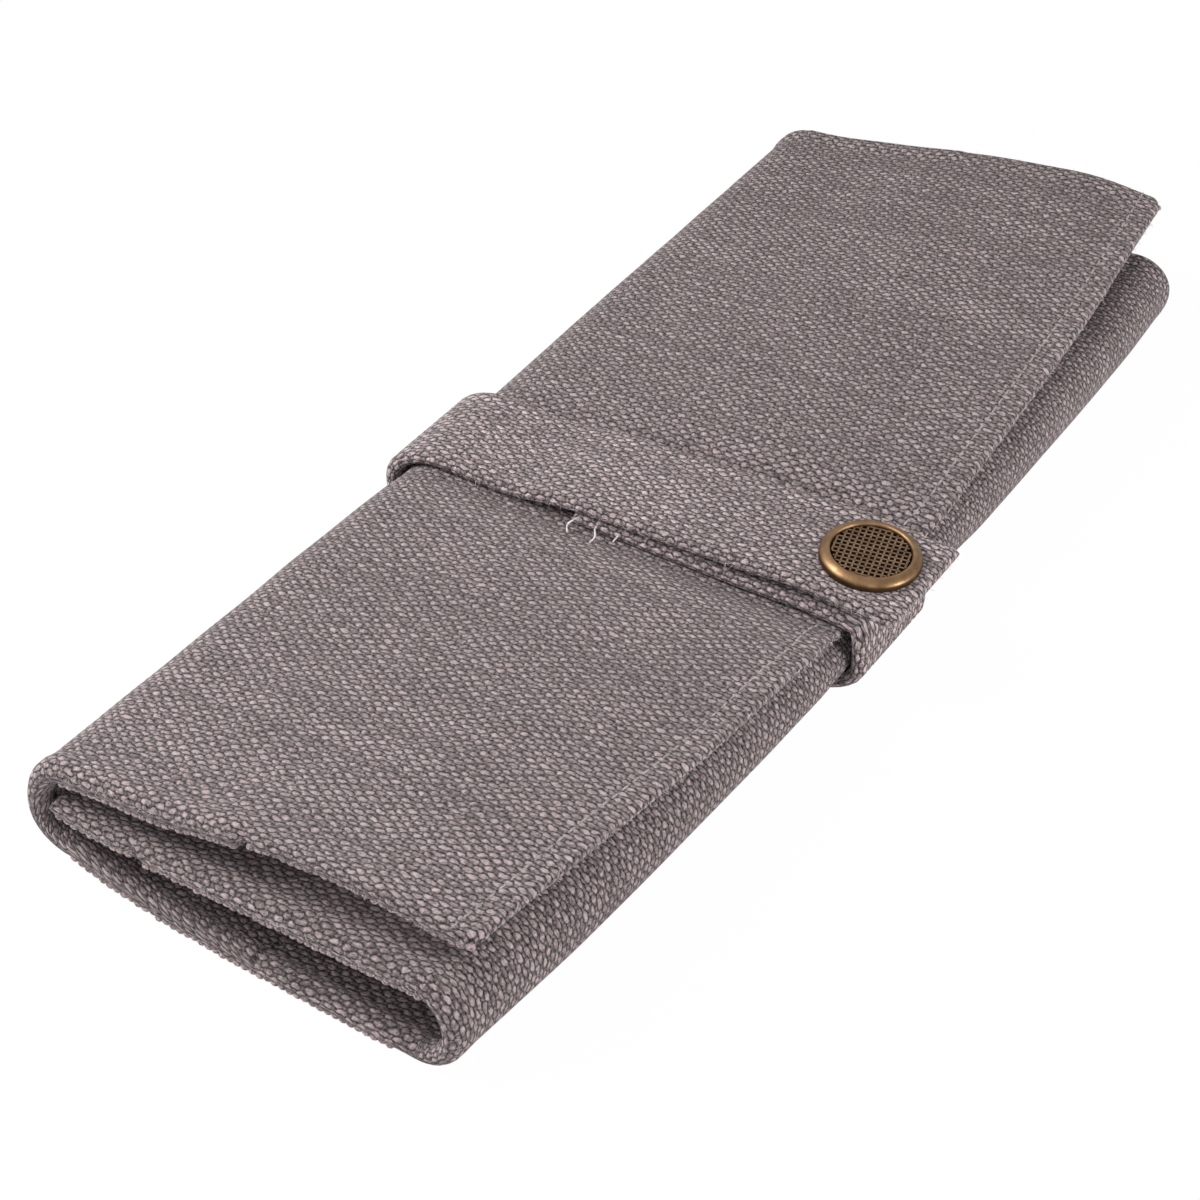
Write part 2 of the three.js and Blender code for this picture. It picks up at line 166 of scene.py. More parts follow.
CURLS = {"near": [0, 2, 4, 6, 6.8, 5.6], "far": [0, 2, 5.2, 8.4, 9.6, 8.6]}
FLAP_LINING_SHARE = 0.45
INNER_SLOPE = 0.049
INNER_STEP_INSET = 22.5
INNER_TIP_INSET = 5.5
INNER_STEP = -WIDTH / 2 + INNER_STEP_INSET
INNER_TIP = -WIDTH / 2 + INNER_TIP_INSET
SLEEVE_PRESSED = 1.2
SLEEVE_RISE = 4.5
SLEEVE_FADE = 12.8
SNAP_INSET = 3
TAIL_LENGTH = 50
SNAP_X = WIDTH / 2 - SNAP_INSET
TAIL_END = SNAP_X - TAIL_LENGTH
print("mat", round(WIDTH, 2), "x", round(2 * HALF, 2), "mm, split at", SPLIT, "and", RIGHT_SPLIT)


# %% How the section changes along the roll
def ease(low, high, value):
    t = np.clip((np.asarray(value, float) - low) / (high - low), 0, 1)
    return t * t * (3 - 2 * t)


def end_of(y):
    return "near" if y < BELT_Y else "far"


def beside(y):
    """How far a place lies outside the belt's edges."""
    return max(0.0, abs(y - BELT_Y) - BELT_SIDE - BELT_MARGIN)


def hump(y):
    """How far the base rides up over the belt's run below it."""
    return BELT_RISE * float(1 - ease(0, HUMP_FADE, beside(y)))


def bow(y):
    """How far the low fold is drawn in, slowly at the near end and only at the corner of the far end."""
    return END_BOW["near"] * (y / HALF) ** 2 if y < 0 else END_BOW["far"] * (y / HALF) ** 6


def flare(x, y):
    """The base and the inner panel reach past the flap at the right of both ends."""
    amount = END_FLARE["near" if y < 0 else "far"]
    return amount * np.clip((x - LEFT_X) / (RIGHT_X - LEFT_X), 0, 1) * (y / HALF) ** 3


def lifted(y):
    """Share of the ends' lift that has been reached: quick beside the belt, then even."""
    away = beside(y)
    reach = HALF - math.copysign(BELT_Y, BELT_Y * (y - BELT_Y)) - BELT_SIDE - BELT_MARGIN
    quick = QUICK_LIFT * (1 - math.exp(-away / QUICK_FADE))
    return quick + (1 - QUICK_LIFT) * min(1.0, away / reach) if away else 0.0


def right_round(y):
    """How far the low fold's round underside reaches in; the belt pulls it roundest."""
    return 1 + (RIGHT_ROUND - 1) * float(1 - ease(0, ROUND_FADE[end_of(y)], beside(y)))


def under(x, y):
    """Height of the base's underside: the hump, a curl at the near left and a round right side."""
    curl = NEAR_LIFT * lifted(y) ** 2 if y < BELT_Y else 0.0
    left = curl * np.clip((RIGHT_X - x) / (RIGHT_X - LEFT_X), 0, 1) ** 6
    part = np.clip((x - RIGHT_X + bow(y) + right_round(y)) / (RIGHT_REACH + right_round(y)), 0, 1)
    right = (RIGHT_SPLIT - hump(y)) * (1 - np.sqrt(1 - part ** 2))
    return hump(y) + left + right


def left_top(y):
    return FOLD_TOP + lifted(y) * FOLD_RISE[end_of(y)]


def right_top(y):
    return RIGHT_TOP + lifted(y) * RIGHT_RISE[end_of(y)]


def sleeve_open(y):
    """Height of the sleeves, which are pressed flat under the belt."""
    return SLEEVE_PRESSED + (SLEEVE_RISE - SLEEVE_PRESSED) * min(1.0, beside(y) / SLEEVE_FADE)


for y in (-HALF, BELT_Y, HALF):
    print("at", y, "hump", round(hump(y), 2), "folds", round(left_top(y), 2), round(right_top(y), 2))

# %% [markdown]
# ## One way to make every piece of cloth
# A sheet of canvas has two faces and a soft edge. It could be a plane with a Solidify modifier, but then
# its edges are cut square. Here each sheet is two grids, one for each face, that come together along the
# free edges in a half circle, as a turned hem does. The section is a row of points and the rows follow one
# another along the roll. Each point also gets its place in the flat cloth as UV in millimetres, so the weave
# runs round the hems and folds without stretching.

# %% The cloth maker
RIPPLE_SIZE = 13


def border(distance, reach):
    """Share of the full thickness, and the length gained by going round the edge."""
    share = np.clip(distance / reach, 0, 1)
    gain = reach * np.arccos(1 - share) - reach * share
    return np.sqrt(1 - (1 - share) ** 2), gain - reach * (math.pi / 2 - 1)


def edge_steps(reach):
    """Distances from an edge, close together where the hem turns."""
    return reach * (1 - np.cos(np.radians([80, 62, 45, 28, 12, 0])))


def across(x, z, side):
    """Outward normals of a row; side is 1 where the path keeps the outside on its left."""
    tangent = np.stack([np.gradient(x), np.gradient(z)], 1)
    tangent /= np.linalg.norm(tangent, axis=1)[:, None]
    return np.stack([-tangent[:, 1], tangent[:, 0]], 1) * side


def ripple(x, y, z, amount):
    """A small unevenness of the cloth."""
    return amount * noise.noise(Vector((x, y, z)) / RIPPLE_SIZE)


def lay_cloth(name, ys, row_of, reach, soft=0.12):
    """Builds a sheet from row_of(y), a section with its thickness, its free edge and its shifts."""
    outer, inner, uv_out, uv_in = [], [], [], []
    low, high = ys[0], ys[-1]
    edge_v = low - reach * (math.pi / 2 - 1)
    for y in ys:
        row = row_of(y)
        x, z, thick = row["x"], row["z"], row["thick"]
        normal = across(x, z, row["side"])
        end_share, end_gain = border(min(y - low, high - y), reach)
        v = y + end_gain if y - low < high - y else y - end_gain
        grown = thick / 2 * row.get("share", 1.0) * end_share
        sunk = thick / 2 - row.get("puff", 0.0)
        skew = row.get("skew", np.zeros_like(x))
        moved = np.array([ripple(a, y, b, soft) for a, b in zip(x, z)])
        for sign, faces in ((1, outer), (-1, inner)):
            px = x + normal[:, 0] * (moved - sunk + sign * grown)
            pz = z + normal[:, 1] * (moved - sunk + sign * grown)
            faces.append(np.stack([px + MIDDLE, y + skew, pz], 1))
        along = row["u"] - row.get("gain", 0.0)
        uv_out.append(np.stack([along, v + skew], 1))
        uv_in.append(np.stack([2 * along[-1] - along, 2 * edge_v - v - skew], 1))
    rows, columns = len(ys), len(outer[0])
    points = np.concatenate([np.array(outer).reshape(-1, 3), np.array(inner).reshape(-1, 3)]) * MM
    uvs = np.concatenate([np.array(uv_out).reshape(-1, 2), np.array(uv_in).reshape(-1, 2)])
    count = rows * columns
    quads = []
    for r in range(rows - 1):
        for c in range(columns - 1):
            a = r * columns + c
            quads.append((a, a + 1, a + columns + 1, a + columns))
            quads.append((count + a, count + a + columns, count + a + columns + 1, count + a + 1))
    for c in range(columns - 1):
        for a, b in ((c, c + 1), (count - columns + c + 1, count - columns + c)):
            quads.append((b, a, count + a, count + b))
    for r in range(rows - 1):
        a, b = r * columns, (r + 1) * columns
        quads.append((a, b, count + b, count + a))
        a, b = a + columns - 1, b + columns - 1
        quads.append((b, a, count + a, count + b))
    mesh = bpy.data.meshes.new(name)
    mesh.from_pydata(points.tolist(), [], quads)
    layer = mesh.uv_layers.new(name="cloth")
    corner = np.empty(len(mesh.loops), np.int32)
    mesh.loops.foreach_get("vertex_index", corner)
    layer.data.foreach_set("uv", uvs[corner].astype(np.float32).ravel())
    return close_mesh(name, mesh)


def close_mesh(name, mesh):
    """Joins the seams of a mesh, turns its faces out and makes it a piece."""
    work = bmesh.new()
    work.from_mesh(mesh)
    bmesh.ops.remove_doubles(work, verts=work.verts, dist=2e-7)
    bmesh.ops.dissolve_degenerate(work, edges=work.edges, dist=1e-8)
    bmesh.ops.recalc_face_normals(work, faces=work.faces)
    if work.calc_volume(signed=True) < 0:
        bmesh.ops.reverse_faces(work, faces=work.faces)
    open_edges = sum(not edge.is_manifold for edge in work.edges)
    work.to_mesh(mesh)
    work.free()
    mesh.shade_smooth()
    piece = bpy.data.objects.new(name, mesh)
    bpy.context.scene.collection.objects.link(piece)
    print(name, len(mesh.polygons), "faces, open edges", open_edges)
    return piece


def roll_rows(low, high, reach, step):
    """Rows along the roll, close together at both ends."""
    edges = np.concatenate([edge_steps(reach), [reach * 1.6]])
    inside = np.linspace(low + 2.6 * reach, high - 2.6 * reach, max(3, int((high - low) / step)))
    return np.concatenate([np.sort(low + edges), inside, np.sort(high - edges)])


# %% [markdown]
# ## The canvas mat
# The outside of the roll is one piece of canvas. Its two folds turn about two joints, and a piece can bend
# across one joint only, so the mat is made in two halves that meet under the middle of the base. The left
# half goes round the tall fold into the flap, the right half round the low fold into the inner panel.

# %% The left half: base, tall fold and flap
FLAT_STEPS = 26
ARC_STEPS = 18
MAT_STEP = 1.6
LEFT_ARC = math.pi * (LEFT_REACH + SPLIT) / 2
EDGE_REACH = 0.9
END_REACH = 1.9
HEM = 0.8
HEM_FADE = (7.5, 9)
HEM_BELT_FADE = 10
BEADS = {"base": 1.9, "flap lined": 3.0, "flap": 1.3, "inner lined": 2.7, "inner tip": 2.0}
BEAD_OUT = 0.2
BEAD_FADE = (2.8, 5.0)
NICK_DEPTH, NICK_SIZE, NICK_FADE = 0.9, 1.1, 6
AT_STEP = np.array([-1.6, -0.9, -0.45, 0, 0.45, 0.9, 1.6])
STEP_FADE = 0.8
WITHIN = 99.0
CORNER_ROUND = 3.2
# Waves of the flap: height, length across and along the roll, and phase
WAVES = [(0.4, 47, 67, 0.6), (0.22, 24, -43, 2.1)]
WAVE_SHARE = {"near": 0.9, "far": 0.55}
WAVE_FROM_BELT = (2, 26)
WAVE_FROM_FOLD = (2, 18)
NOTCH_SIDE, NOTCH_SLANT = 5.6, 2.4
NOTCH_X = SNAP_X - 4.1
curl_places = np.linspace(0, 1, 101)
curl_tables = {}
for end, rises in CURLS.items():
    rough = np.interp(curl_places, np.linspace(0, 1, len(rises)), rises)
    curl_tables[end] = np.convolve(np.pad(rough, 8, mode="edge"), np.ones(17) / 17, mode="valid")


def flap_edge(y):
    drawn = FLAP_END_DRAW * (y / HALF) ** 2 + FLAP_BELT_DRAW * float(1 - ease(0, FLAP_BELT_FADE, beside(y)))
    return WIDTH / 2 + FLAP_OVER - drawn


def flap_top(x, y):
    """Height of the flap's outer face."""
    share = (x - LEFT_X) / (flap_edge(y) - LEFT_X)
    curl = np.interp(share, curl_places, curl_tables[end_of(y)])
    run = x - LEFT_X
    wave = sum(
        height * np.sin(2 * math.pi * (run / wide + y / long) + phase) for height, wide, long, phase in WAVES)
    calm = float(ease(*WAVE_FROM_BELT, beside(y))) * WAVE_SHARE["near" if y < 0 else "far"]
    return left_top(y) - FLAP_SAG * share + lifted(y) * curl + wave * calm * ease(*WAVE_FROM_FOLD, run)


def flap_run(y):
    """Length of the flap from the top of the tall fold, with its round corners and hidden cut-out."""
    inside = min(CORNER_ROUND, HALF - abs(y))
    cut = CORNER_ROUND - math.sqrt(max(0.0, CORNER_ROUND ** 2 - (CORNER_ROUND - inside) ** 2))
    out = float(ease(NOTCH_SIDE, NOTCH_SIDE + NOTCH_SLANT, abs(y - BELT_Y)))
    return NOTCH_X + (flap_edge(y) - NOTCH_X) * out - LEFT_X - cut


def left_arcs(y):
    rise = np.linspace(math.pi / 2, 0, ARC_STEPS, endpoint=False)
    over = np.linspace(0, math.pi / 2, ARC_STEPS, endpoint=False)
    x = LEFT_X - LEFT_REACH * np.cos(np.concatenate([rise, over]))
    low = SPLIT - under(LEFT_X, y)
    z = np.concatenate([SPLIT - low * np.sin(rise), SPLIT + (left_top(y) - SPLIT) * np.sin(over)])
    u = -LEFT_X + LEFT_ARC * np.linspace(0, 1, 2 * ARC_STEPS, endpoint=False)
    return x, z, u


def end_bead(y, amounts):
    """Extra thickness of the turned hem at both ends, most where the lining is rolled in with the canvas."""
    return amounts * float(1 - ease(*BEAD_FADE, HALF - abs(y)))


def stand_out(extra, flat, arc):
    """How far a hem stands out of the canvas: not at all under the base, and more and more up the fold."""
    growth = np.interp(np.arange(len(extra)), [flat, flat + arc], [0.0, 1.0])
    return extra * growth * BEAD_OUT


def nick(y, run, at):
    """A small dent in the near end's edge beside the step of a hem."""
    depth = NICK_DEPTH * float(1 - ease(0, NICK_FADE, y + HALF))
    return depth * np.exp(-((run - at - NICK_SIZE) / NICK_SIZE) ** 2)


def runs_to(length, count, step):
    """Places along a panel, close together at its lining's step and at its free edge."""
    even = np.linspace(0, length - 2.4, count)
    return np.sort(np.concatenate([even, step + AT_STEP, length - edge_steps(EDGE_REACH)]))


def hem_beads(flat, arc, from_step, lined, bare):
    """Hem thickness along the base, round a fold and over a panel whose lining ends at a step."""
    covered = 1 - ease(-STEP_FADE, STEP_FADE, from_step)
    panel = BEADS[bare] + (BEADS[lined] - BEADS[bare]) * covered
    base = np.full(flat, BEADS["base"])
    fold = np.linspace(BEADS["base"], BEADS[lined], arc)
    return np.concatenate([base, fold, panel])


def flap_side(y):
    flat = np.linspace(0, LEFT_X, FLAT_STEPS, endpoint=False)
    arc_x, arc_z, arc_u = left_arcs(y)
    length = flap_run(y)
    full = FLAP_LINING_SHARE * (flap_edge(y) - LEFT_X)
    runs = runs_to(length, 60, full)
    below = np.full(len(flat) + len(arc_x), WITHIN)
    from_edge = np.concatenate([below, length - runs])
    share, gain = border(from_edge, EDGE_REACH)
    beads = hem_beads(len(flat), len(arc_x), runs - full, "flap lined", "flap")
    hem = (1 - ease(*HEM_FADE, from_edge)) * float(ease(0, HEM_BELT_FADE, beside(y)))
    extra = np.maximum(HEM * hem, end_bead(y, beads))
    return {
        "x": np.concatenate([flat, arc_x, LEFT_X + runs]),
        "z": np.concatenate([under(flat, y), arc_z, flap_top(LEFT_X + runs, y)]),
        "u": np.concatenate([-flat, arc_u, -LEFT_X + LEFT_ARC + runs]),
        "skew": np.concatenate([flare(flat, y), np.zeros(len(arc_x)), nick(y, runs, full)]),
        "side": 1, "thick": CANVAS + extra, "share": share, "gain": gain,
        "puff": stand_out(extra, len(flat), len(arc_x)),
    }


mat_rows = roll_rows(-HALF, HALF, END_REACH, MAT_STEP)
mat_flap_side = lay_cloth("mat_flap_side", mat_rows, flap_side, END_REACH)

# %% The right half: base, low fold and inner panel
RIGHT_ARC = math.pi * (RIGHT_REACH + RIGHT_SPLIT) / 2
INNER_CURL = 1.5
INNER_CURL_FROM = -28
INNER_CURL_RUN = 11


def inner_top(x, y):
    """Height of the inner panel's outer face."""
    curl = INNER_CURL * np.clip((INNER_CURL_FROM - x) / INNER_CURL_RUN, 0, 1) ** 2
    return right_top(y) - INNER_SLOPE * (RIGHT_X - bow(y) - x) + curl


def right_arcs(y):
    reach_in = right_round(y)
    rise = np.linspace(math.acos(reach_in / (RIGHT_REACH + reach_in)), 0, ARC_STEPS, endpoint=False)
    over = np.linspace(0, math.pi / 2, ARC_STEPS, endpoint=False)
    low_x = (RIGHT_REACH + reach_in) * np.cos(rise) - reach_in
    x = RIGHT_X - bow(y) + np.concatenate([low_x, RIGHT_REACH * np.cos(over)])
    low, high = RIGHT_SPLIT - hump(y), right_top(y) - RIGHT_SPLIT
    z = np.concatenate([RIGHT_SPLIT - low * np.sin(rise), RIGHT_SPLIT + high * np.sin(over)])
    u = -RIGHT_X - RIGHT_ARC * np.linspace(0, 1, 2 * ARC_STEPS, endpoint=False)
    return x, z, u


def inner_side(y):
    at = RIGHT_X - bow(y)
    flat = np.linspace(0, at, FLAT_STEPS, endpoint=False)
    arc_x, arc_z, arc_u = right_arcs(y)
    length = at - INNER_TIP
    step_run = at - INNER_STEP
    runs = runs_to(length, 46, step_run)
    below = np.full(len(flat) + len(arc_x), WITHIN)
    share, gain = border(np.concatenate([below, length - runs]), EDGE_REACH)
    beads = hem_beads(len(flat), len(arc_x), runs - step_run, "inner lined", "inner tip")
    extra = end_bead(y, beads)
    x = np.concatenate([flat, arc_x, at - runs])
    return {
        "x": x,
        "z": np.concatenate([under(flat, y), arc_z, inner_top(at - runs, y)]),
        "u": np.concatenate([-flat, arc_u, -RIGHT_X - RIGHT_ARC - runs]),
        "skew": flare(x, y) + np.concatenate([np.zeros(len(below)), nick(y, runs, step_run)]),
        "side": -1, "thick": CANVAS + extra, "share": share, "gain": -gain,
        "puff": stand_out(extra, len(flat), len(arc_x)),
    }


mat_inner_side = lay_cloth("mat_inner_side", mat_rows, inner_side, END_REACH)

# %% [markdown]
# ## The lining and its sleeves
# A second layer of the same canvas is sewn inside the mat. It runs a little way under the flap, round both
# folds and under the inner panel, and on the base it stands up between four seams as three sleeves that each
# take a watch strap. The sleeves stay with the base, so they are a piece of their own.

# %% Linings inside both folds
FLOOR = CANVAS + GAP
LINING_SETBACK = 4.8
LINING_REACH = LINING / 2
LINING_STEP = 2.2
LINING_RIPPLE = 0.08
SLEEVE_SETBACK = 16.0


def inset(x, z, side, depth):
    """A row moved inwards by a depth."""
    normal = across(x, z, side)
    return x - normal[:, 0] * depth, z - normal[:, 1] * depth


def lining_row(arcs, fold_x, length, count, side, top_of):
    """A lining inside a fold and along its panel, a canvas and a gap below the outer face."""
    arc_x, arc_z, arc_u = arcs
    runs = np.concatenate([np.linspace(0, length - 2, count), length - edge_steps(LINING_REACH)])
    panel_x = fold_x + side * runs
    outer_x = np.concatenate([arc_x, panel_x])
    x, z = inset(outer_x, np.concatenate([arc_z, top_of(panel_x)]), side, FLOOR)
    share, gain = border(np.concatenate([np.full(len(arc_x), WITHIN), length - runs]), LINING_REACH)
    start_u = -LEFT_X + LEFT_ARC if side > 0 else -RIGHT_X - RIGHT_ARC
    return outer_x, {
        "x": x, "z": z, "u": np.concatenate([arc_u, start_u + side * runs]), "side": side,
        "thick": np.full_like(x, LINING), "share": share, "gain": side * gain,
    }


def flap_lining_row(y):
    length = FLAP_LINING_SHARE * (flap_edge(y) - LEFT_X)
    return lining_row(left_arcs(y), LEFT_X, length, 22, 1, lambda x: flap_top(x, y))[1]


def inner_lining_row(y):
    at = RIGHT_X - bow(y)
    outer_x, row = lining_row(right_arcs(y), at, at - INNER_STEP, 36, -1, lambda x: inner_top(x, y))
    return {**row, "skew": flare(outer_x, y)}


lining_rows = roll_rows(-HALF + LINING_SETBACK, HALF - LINING_SETBACK, LINING_REACH, LINING_STEP)
flap_lining = lay_cloth("flap_lining", lining_rows, flap_lining_row, LINING_REACH, LINING_RIPPLE)
inner_lining = lay_cloth("inner_lining", lining_rows, inner_lining_row, LINING_REACH, LINING_RIPPLE)

# %% Three sleeves on the base
SLEEVES = 3
SLEEVE_POINTS = 26


def sleeve_row(y):
    at = RIGHT_X - bow(y)
    share = np.linspace(0, SLEEVES, SLEEVES * SLEEVE_POINTS + 1)
    part = share % 1.0
    rise = ease(0.04, 0.2, part) * (1 - ease(0.8, 0.96, part))
    x = LEFT_X + (at - LEFT_X) * share / SLEEVES
    z = FLOOR + LINING + under(x, y) + rise * sleeve_open(y)
    return {"x": x, "z": z, "u": -x, "skew": flare(x, y), "side": 1, "thick": np.full_like(x, LINING)}


sleeve_rows = roll_rows(-HALF + SLEEVE_SETBACK, HALF - SLEEVE_SETBACK, LINING_REACH, LINING_STEP)
sleeve_cloth = lay_cloth("sleeve_cloth", sleeve_rows, sleeve_row, LINING_REACH, 0.05)

# %% [markdown]
# ## The belt
# The belt is a tube of the same canvas pressed flat. It is sewn under the base, its long end comes up round
# the tall fold and carries the snap's cap, and its short end comes round the low fold, carries the stud and
# lies on the flap under the long end. Each end bends at its own joint, so the belt is made in three lengths.

# %% Belt under the base and round the tall fold
BELT_HINGE = LEFT_X + 3.0
BELT_SOFT = 0.25
BELT_STEP = 1.3
BELT_RIPPLE = 0.06
BELT_REACH = BELT / 2 + BELT_SOFT
BELT_ROWS = roll_rows(BELT_NEAR, BELT_FAR, BELT_REACH, 1.5)
WRAP_LOOSE = 1.0
LEFT_OUT = LEFT_REACH + GAP + WRAP_LOOSE


def smooth_path(points, times=3):
    """Corner cutting: each corner is replaced by two points beside it."""
    path = np.array(points, float)
    for _ in range(times):
        cut = np.empty((2 * len(path), path.shape[1]))
        cut[0] = path[0]
        cut[-1] = path[-1]
        cut[1:-1:2] = 0.75 * path[:-1] + 0.25 * path[1:]
        cut[2:-1:2] = 0.25 * path[:-1] + 0.75 * path[1:]
        path = cut
    return path


def even_path(path, step, end_reach=0.0):
    """Points at even distances, close together at the far end when it is free."""
    length = np.concatenate([[0], np.cumsum(np.linalg.norm(np.diff(path, axis=0), axis=1))])
    total = length[-1]
    stop = total - 2.2 * end_reach
    at = np.linspace(0, stop, int(stop / step) + 2)
    if end_reach:
        at = np.concatenate([at, total - edge_steps(end_reach)])
    x = np.interp(at, length, path[:, 0])
    z = np.interp(at, length, path[:, 1])
    return x, z, at, total - at


def belt_row(path, side, start_u, end_reach):
    x, z, at, from_edge = even_path(path, BELT_STEP, end_reach)
    normal = across(x, z, side)
    share, gain = border(from_edge if end_reach else from_edge + WITHIN, BELT_REACH)
    row = {
        "x": x + normal[:, 0] * BELT, "z": z + normal[:, 1] * BELT, "u": start_u + at, "side": side,
        "thick": np.full_like(x, BELT + 2 * BELT_SOFT), "puff": BELT_SOFT, "share": share, "gain": gain,
    }
    return lambda y: row


quarter = np.linspace(0, math.pi / 2, 15)
WRAP_TOP = FOLD_TOP + GAP + 0.4
wrap_path = np.concatenate([
    [(0.0, BELT), (LEFT_X / 2, BELT)],
    np.stack([LEFT_X - LEFT_OUT * np.sin(quarter), SPLIT - (SPLIT - BELT) * np.cos(quarter)], 1),
    np.stack([
        LEFT_X - LEFT_OUT * np.cos(quarter[1:]), SPLIT + (WRAP_TOP - SPLIT) * np.sin(quarter[1:])], 1),
    [(BELT_HINGE, WRAP_TOP)],
])
belt_wrap = lay_cloth("belt_wrap", BELT_ROWS, belt_row(wrap_path, 1, 0.0, 0.0), BELT_REACH, 0.1)

# %% The short end with the stud
SNAP_TILT = math.radians(5)
SNAP_RIDE = 0.5
SEAT = np.array([SNAP_X, FOLD_TOP - FLAP_SAG + SNAP_RIDE])
SEAT_RUN = np.array([math.cos(SNAP_TILT), -math.sin(SNAP_TILT)])
SEAT_UP = np.array([math.sin(SNAP_TILT), math.cos(SNAP_TILT)])
SNAP_HEIGHT = 1.9
BELT_OVERHANG = 10.7
SIDE_IN = WIDTH / 2 + 0.5


def on_seat(run, up):
    return tuple(SEAT + SEAT_RUN * run + SEAT_UP * up)


def on_flap(x):
    return FOLD_TOP - FLAP_SAG * (x - LEFT_X) / (flap_edge(BELT_Y) - LEFT_X) + GAP


def tail_to_snap(share):
    return TAIL_END + (SNAP_X - TAIL_END) * share


shoulder = on_seat(3.4, 0)[1]
right_quarter = np.stack([
    RIGHT_X - RIGHT_ROUND + (SIDE_IN - RIGHT_X + RIGHT_ROUND) * np.sin(quarter),
    RIGHT_SPLIT - (RIGHT_SPLIT - BELT) * np.cos(quarter),
], 1)
stud_path = np.concatenate([
    [(0.0, BELT), (RIGHT_X / 2, BELT)],
    right_quarter,
    smooth_path([
        tuple(right_quarter[-1]),
        (SIDE_IN, shoulder - 2.4),
        (SIDE_IN - 0.12, shoulder - 0.6),
        on_seat(3.1, 0),
        on_seat(-3.4, 0),
        on_seat(-7.4, 0),
        (tail_to_snap(0.76), on_flap(tail_to_snap(0.76))),
        (TAIL_END, on_flap(TAIL_END)),
    ])[1:],
])
stud_row = belt_row(stud_path, -1, 0.3, BELT_REACH)
belt_stud_end = lay_cloth("belt_stud_end", BELT_ROWS, stud_row, BELT_REACH, BELT_RIPPLE)

# %% The long end with the cap
UPPER_FOOT = BELT + SNAP_HEIGHT
tail_top = on_flap(TAIL_END) + BELT + GAP
snap_path = smooth_path([
    (BELT_HINGE, WRAP_TOP),
    (TAIL_END - 12, on_flap(TAIL_END - 12) + 0.2),
    (TAIL_END - 2.5, tail_top + 0.1),
    (tail_to_snap(0.25), tail_top + 0.15),
    (tail_to_snap(0.5), tail_top + 0.3),
    (tail_to_snap(0.72), tail_top + 0.6),
    on_seat(-8, UPPER_FOOT),
    on_seat(0, UPPER_FOOT),
    on_seat(BELT_OVERHANG, UPPER_FOOT),
])
snap_row = belt_row(snap_path, 1, 72.0, BELT_REACH)
belt_snap_end = lay_cloth("belt_snap_end", BELT_ROWS, snap_row, BELT_REACH, BELT_RIPPLE)

# %% [markdown]
# ## The snap
# Every metal part of the snap is turned, so each is a profile spun about one axis that leans five degrees
# over the low fold. The cap has a rolled rim round a sunk disc, and the disc carries a raised grid. A mask
# on each ring of points says where the brass is bright: partly where handling has rubbed the dark finish off,
# partly a painted highlight on the edges.

# %% A helper that spins a profile
SNAP_AXIS = on_seat(0, BELT)
SNAP_PLACE = (
    Matrix.Translation(Vector((SNAP_AXIS[0] + MIDDLE, BELT_Y, SNAP_AXIS[1])) * MM)
    @ Matrix.Rotation(SNAP_TILT, 4, "Y")
)


def turned(name, profile, wear_and_highlight, sides):
    """Spins (radius, height) points; the list after the profile gives the bright-metal share at each of them,
    for edges worn bare and for painted highlight.
    """
    points, shares, rings = [], [], []
    for (radius, height), share in zip(profile, wear_and_highlight):
        count = sides if radius > 1e-6 else 1
        rings.append([len(points) + k % count for k in range(sides)])
        for k in range(count):
            angle = 2 * math.pi * k / sides
            points.append((radius * MM * math.cos(angle), radius * MM * math.sin(angle), height * MM))
            shares.append(share)
    faces = []
    for low, high in zip(rings, rings[1:]):
        for k in range(sides):
            n = (k + 1) % sides
            corners = list(dict.fromkeys([low[k], low[n], high[n], high[k]]))
            if len(corners) > 2:
                faces.append(corners)
    mesh = bpy.data.meshes.new(name)
    mesh.from_pydata(points, [], faces)
    mask = mesh.attributes.new("wear_and_highlight", "FLOAT", "POINT")
    mask.data.foreach_set("value", np.array(shares, np.float32))
    mesh.transform(SNAP_PLACE)
    return close_mesh(name, mesh)


def rounded_profile(points, wear_and_highlight, times=2):
    """Softens a profile and its mask together by corner cutting."""
    shape = smooth_path(points, times)
    marks = smooth_path([(share, 0.0) for share in wear_and_highlight], times)[:, 0]
    return [tuple(point) for point in shape], list(marks)


def raised(points, level):
    """A profile moved up to a level."""
    return [(radius, level + height) for radius, height in points]


# %% Cap and its sunk disc
CAP_LOW = UPPER_FOOT + 0.1
CAP_RADIUS = 8.5
INSERT_RADIUS = 6.5
post_shape = [(0, 1.1), (1.6, 1.1), (2, 1.12), (2, 1.3), (1.3, 1.35), (1.3, 2.4)]
shell_shape = [
    (1.3, 0), (4, 0), (7.6, 0), (8.3, 0.06), (CAP_RADIUS, 0.3), (CAP_RADIUS, 0.95), (8.4, 1.35), (8.05, 1.75),
    (7.5, 2.08), (7.1, 2.2), (6.82, 2.1), (6.65, 1.75), (6.6, 1.2), (6.6, 0.75), (5.4, 0.75), (0, 0.75),
]
# Bright share along the shell: partly brass worn bare on the rolled rim, partly a painted highlight on the
# rim's top and its lower outer edge.
shell_wear_and_highlight = [0, 0, 0, 0.5, 0.1, 0.05, 0.3, 0.45, 0.4, 0.8, 0.6, 0.2, 0, 0, 0, 0]
cap_shape = post_shape + raised(shell_shape, CAP_LOW)
cap = turned("cap", *rounded_profile(cap_shape, [0] * len(post_shape) + shell_wear_and_highlight), 96)

insert_shape = raised([
    (0, 0.85), (5.6, 0.85), (INSERT_RADIUS, 0.85), (INSERT_RADIUS, 1.2),
    (5.7, 1.3), (4, 1.38), (2, 1.44), (0, 1.46),
], CAP_LOW)
cap_disc = turned("cap_disc", *rounded_profile(insert_shape, [0.0] * len(insert_shape), 1), 72)

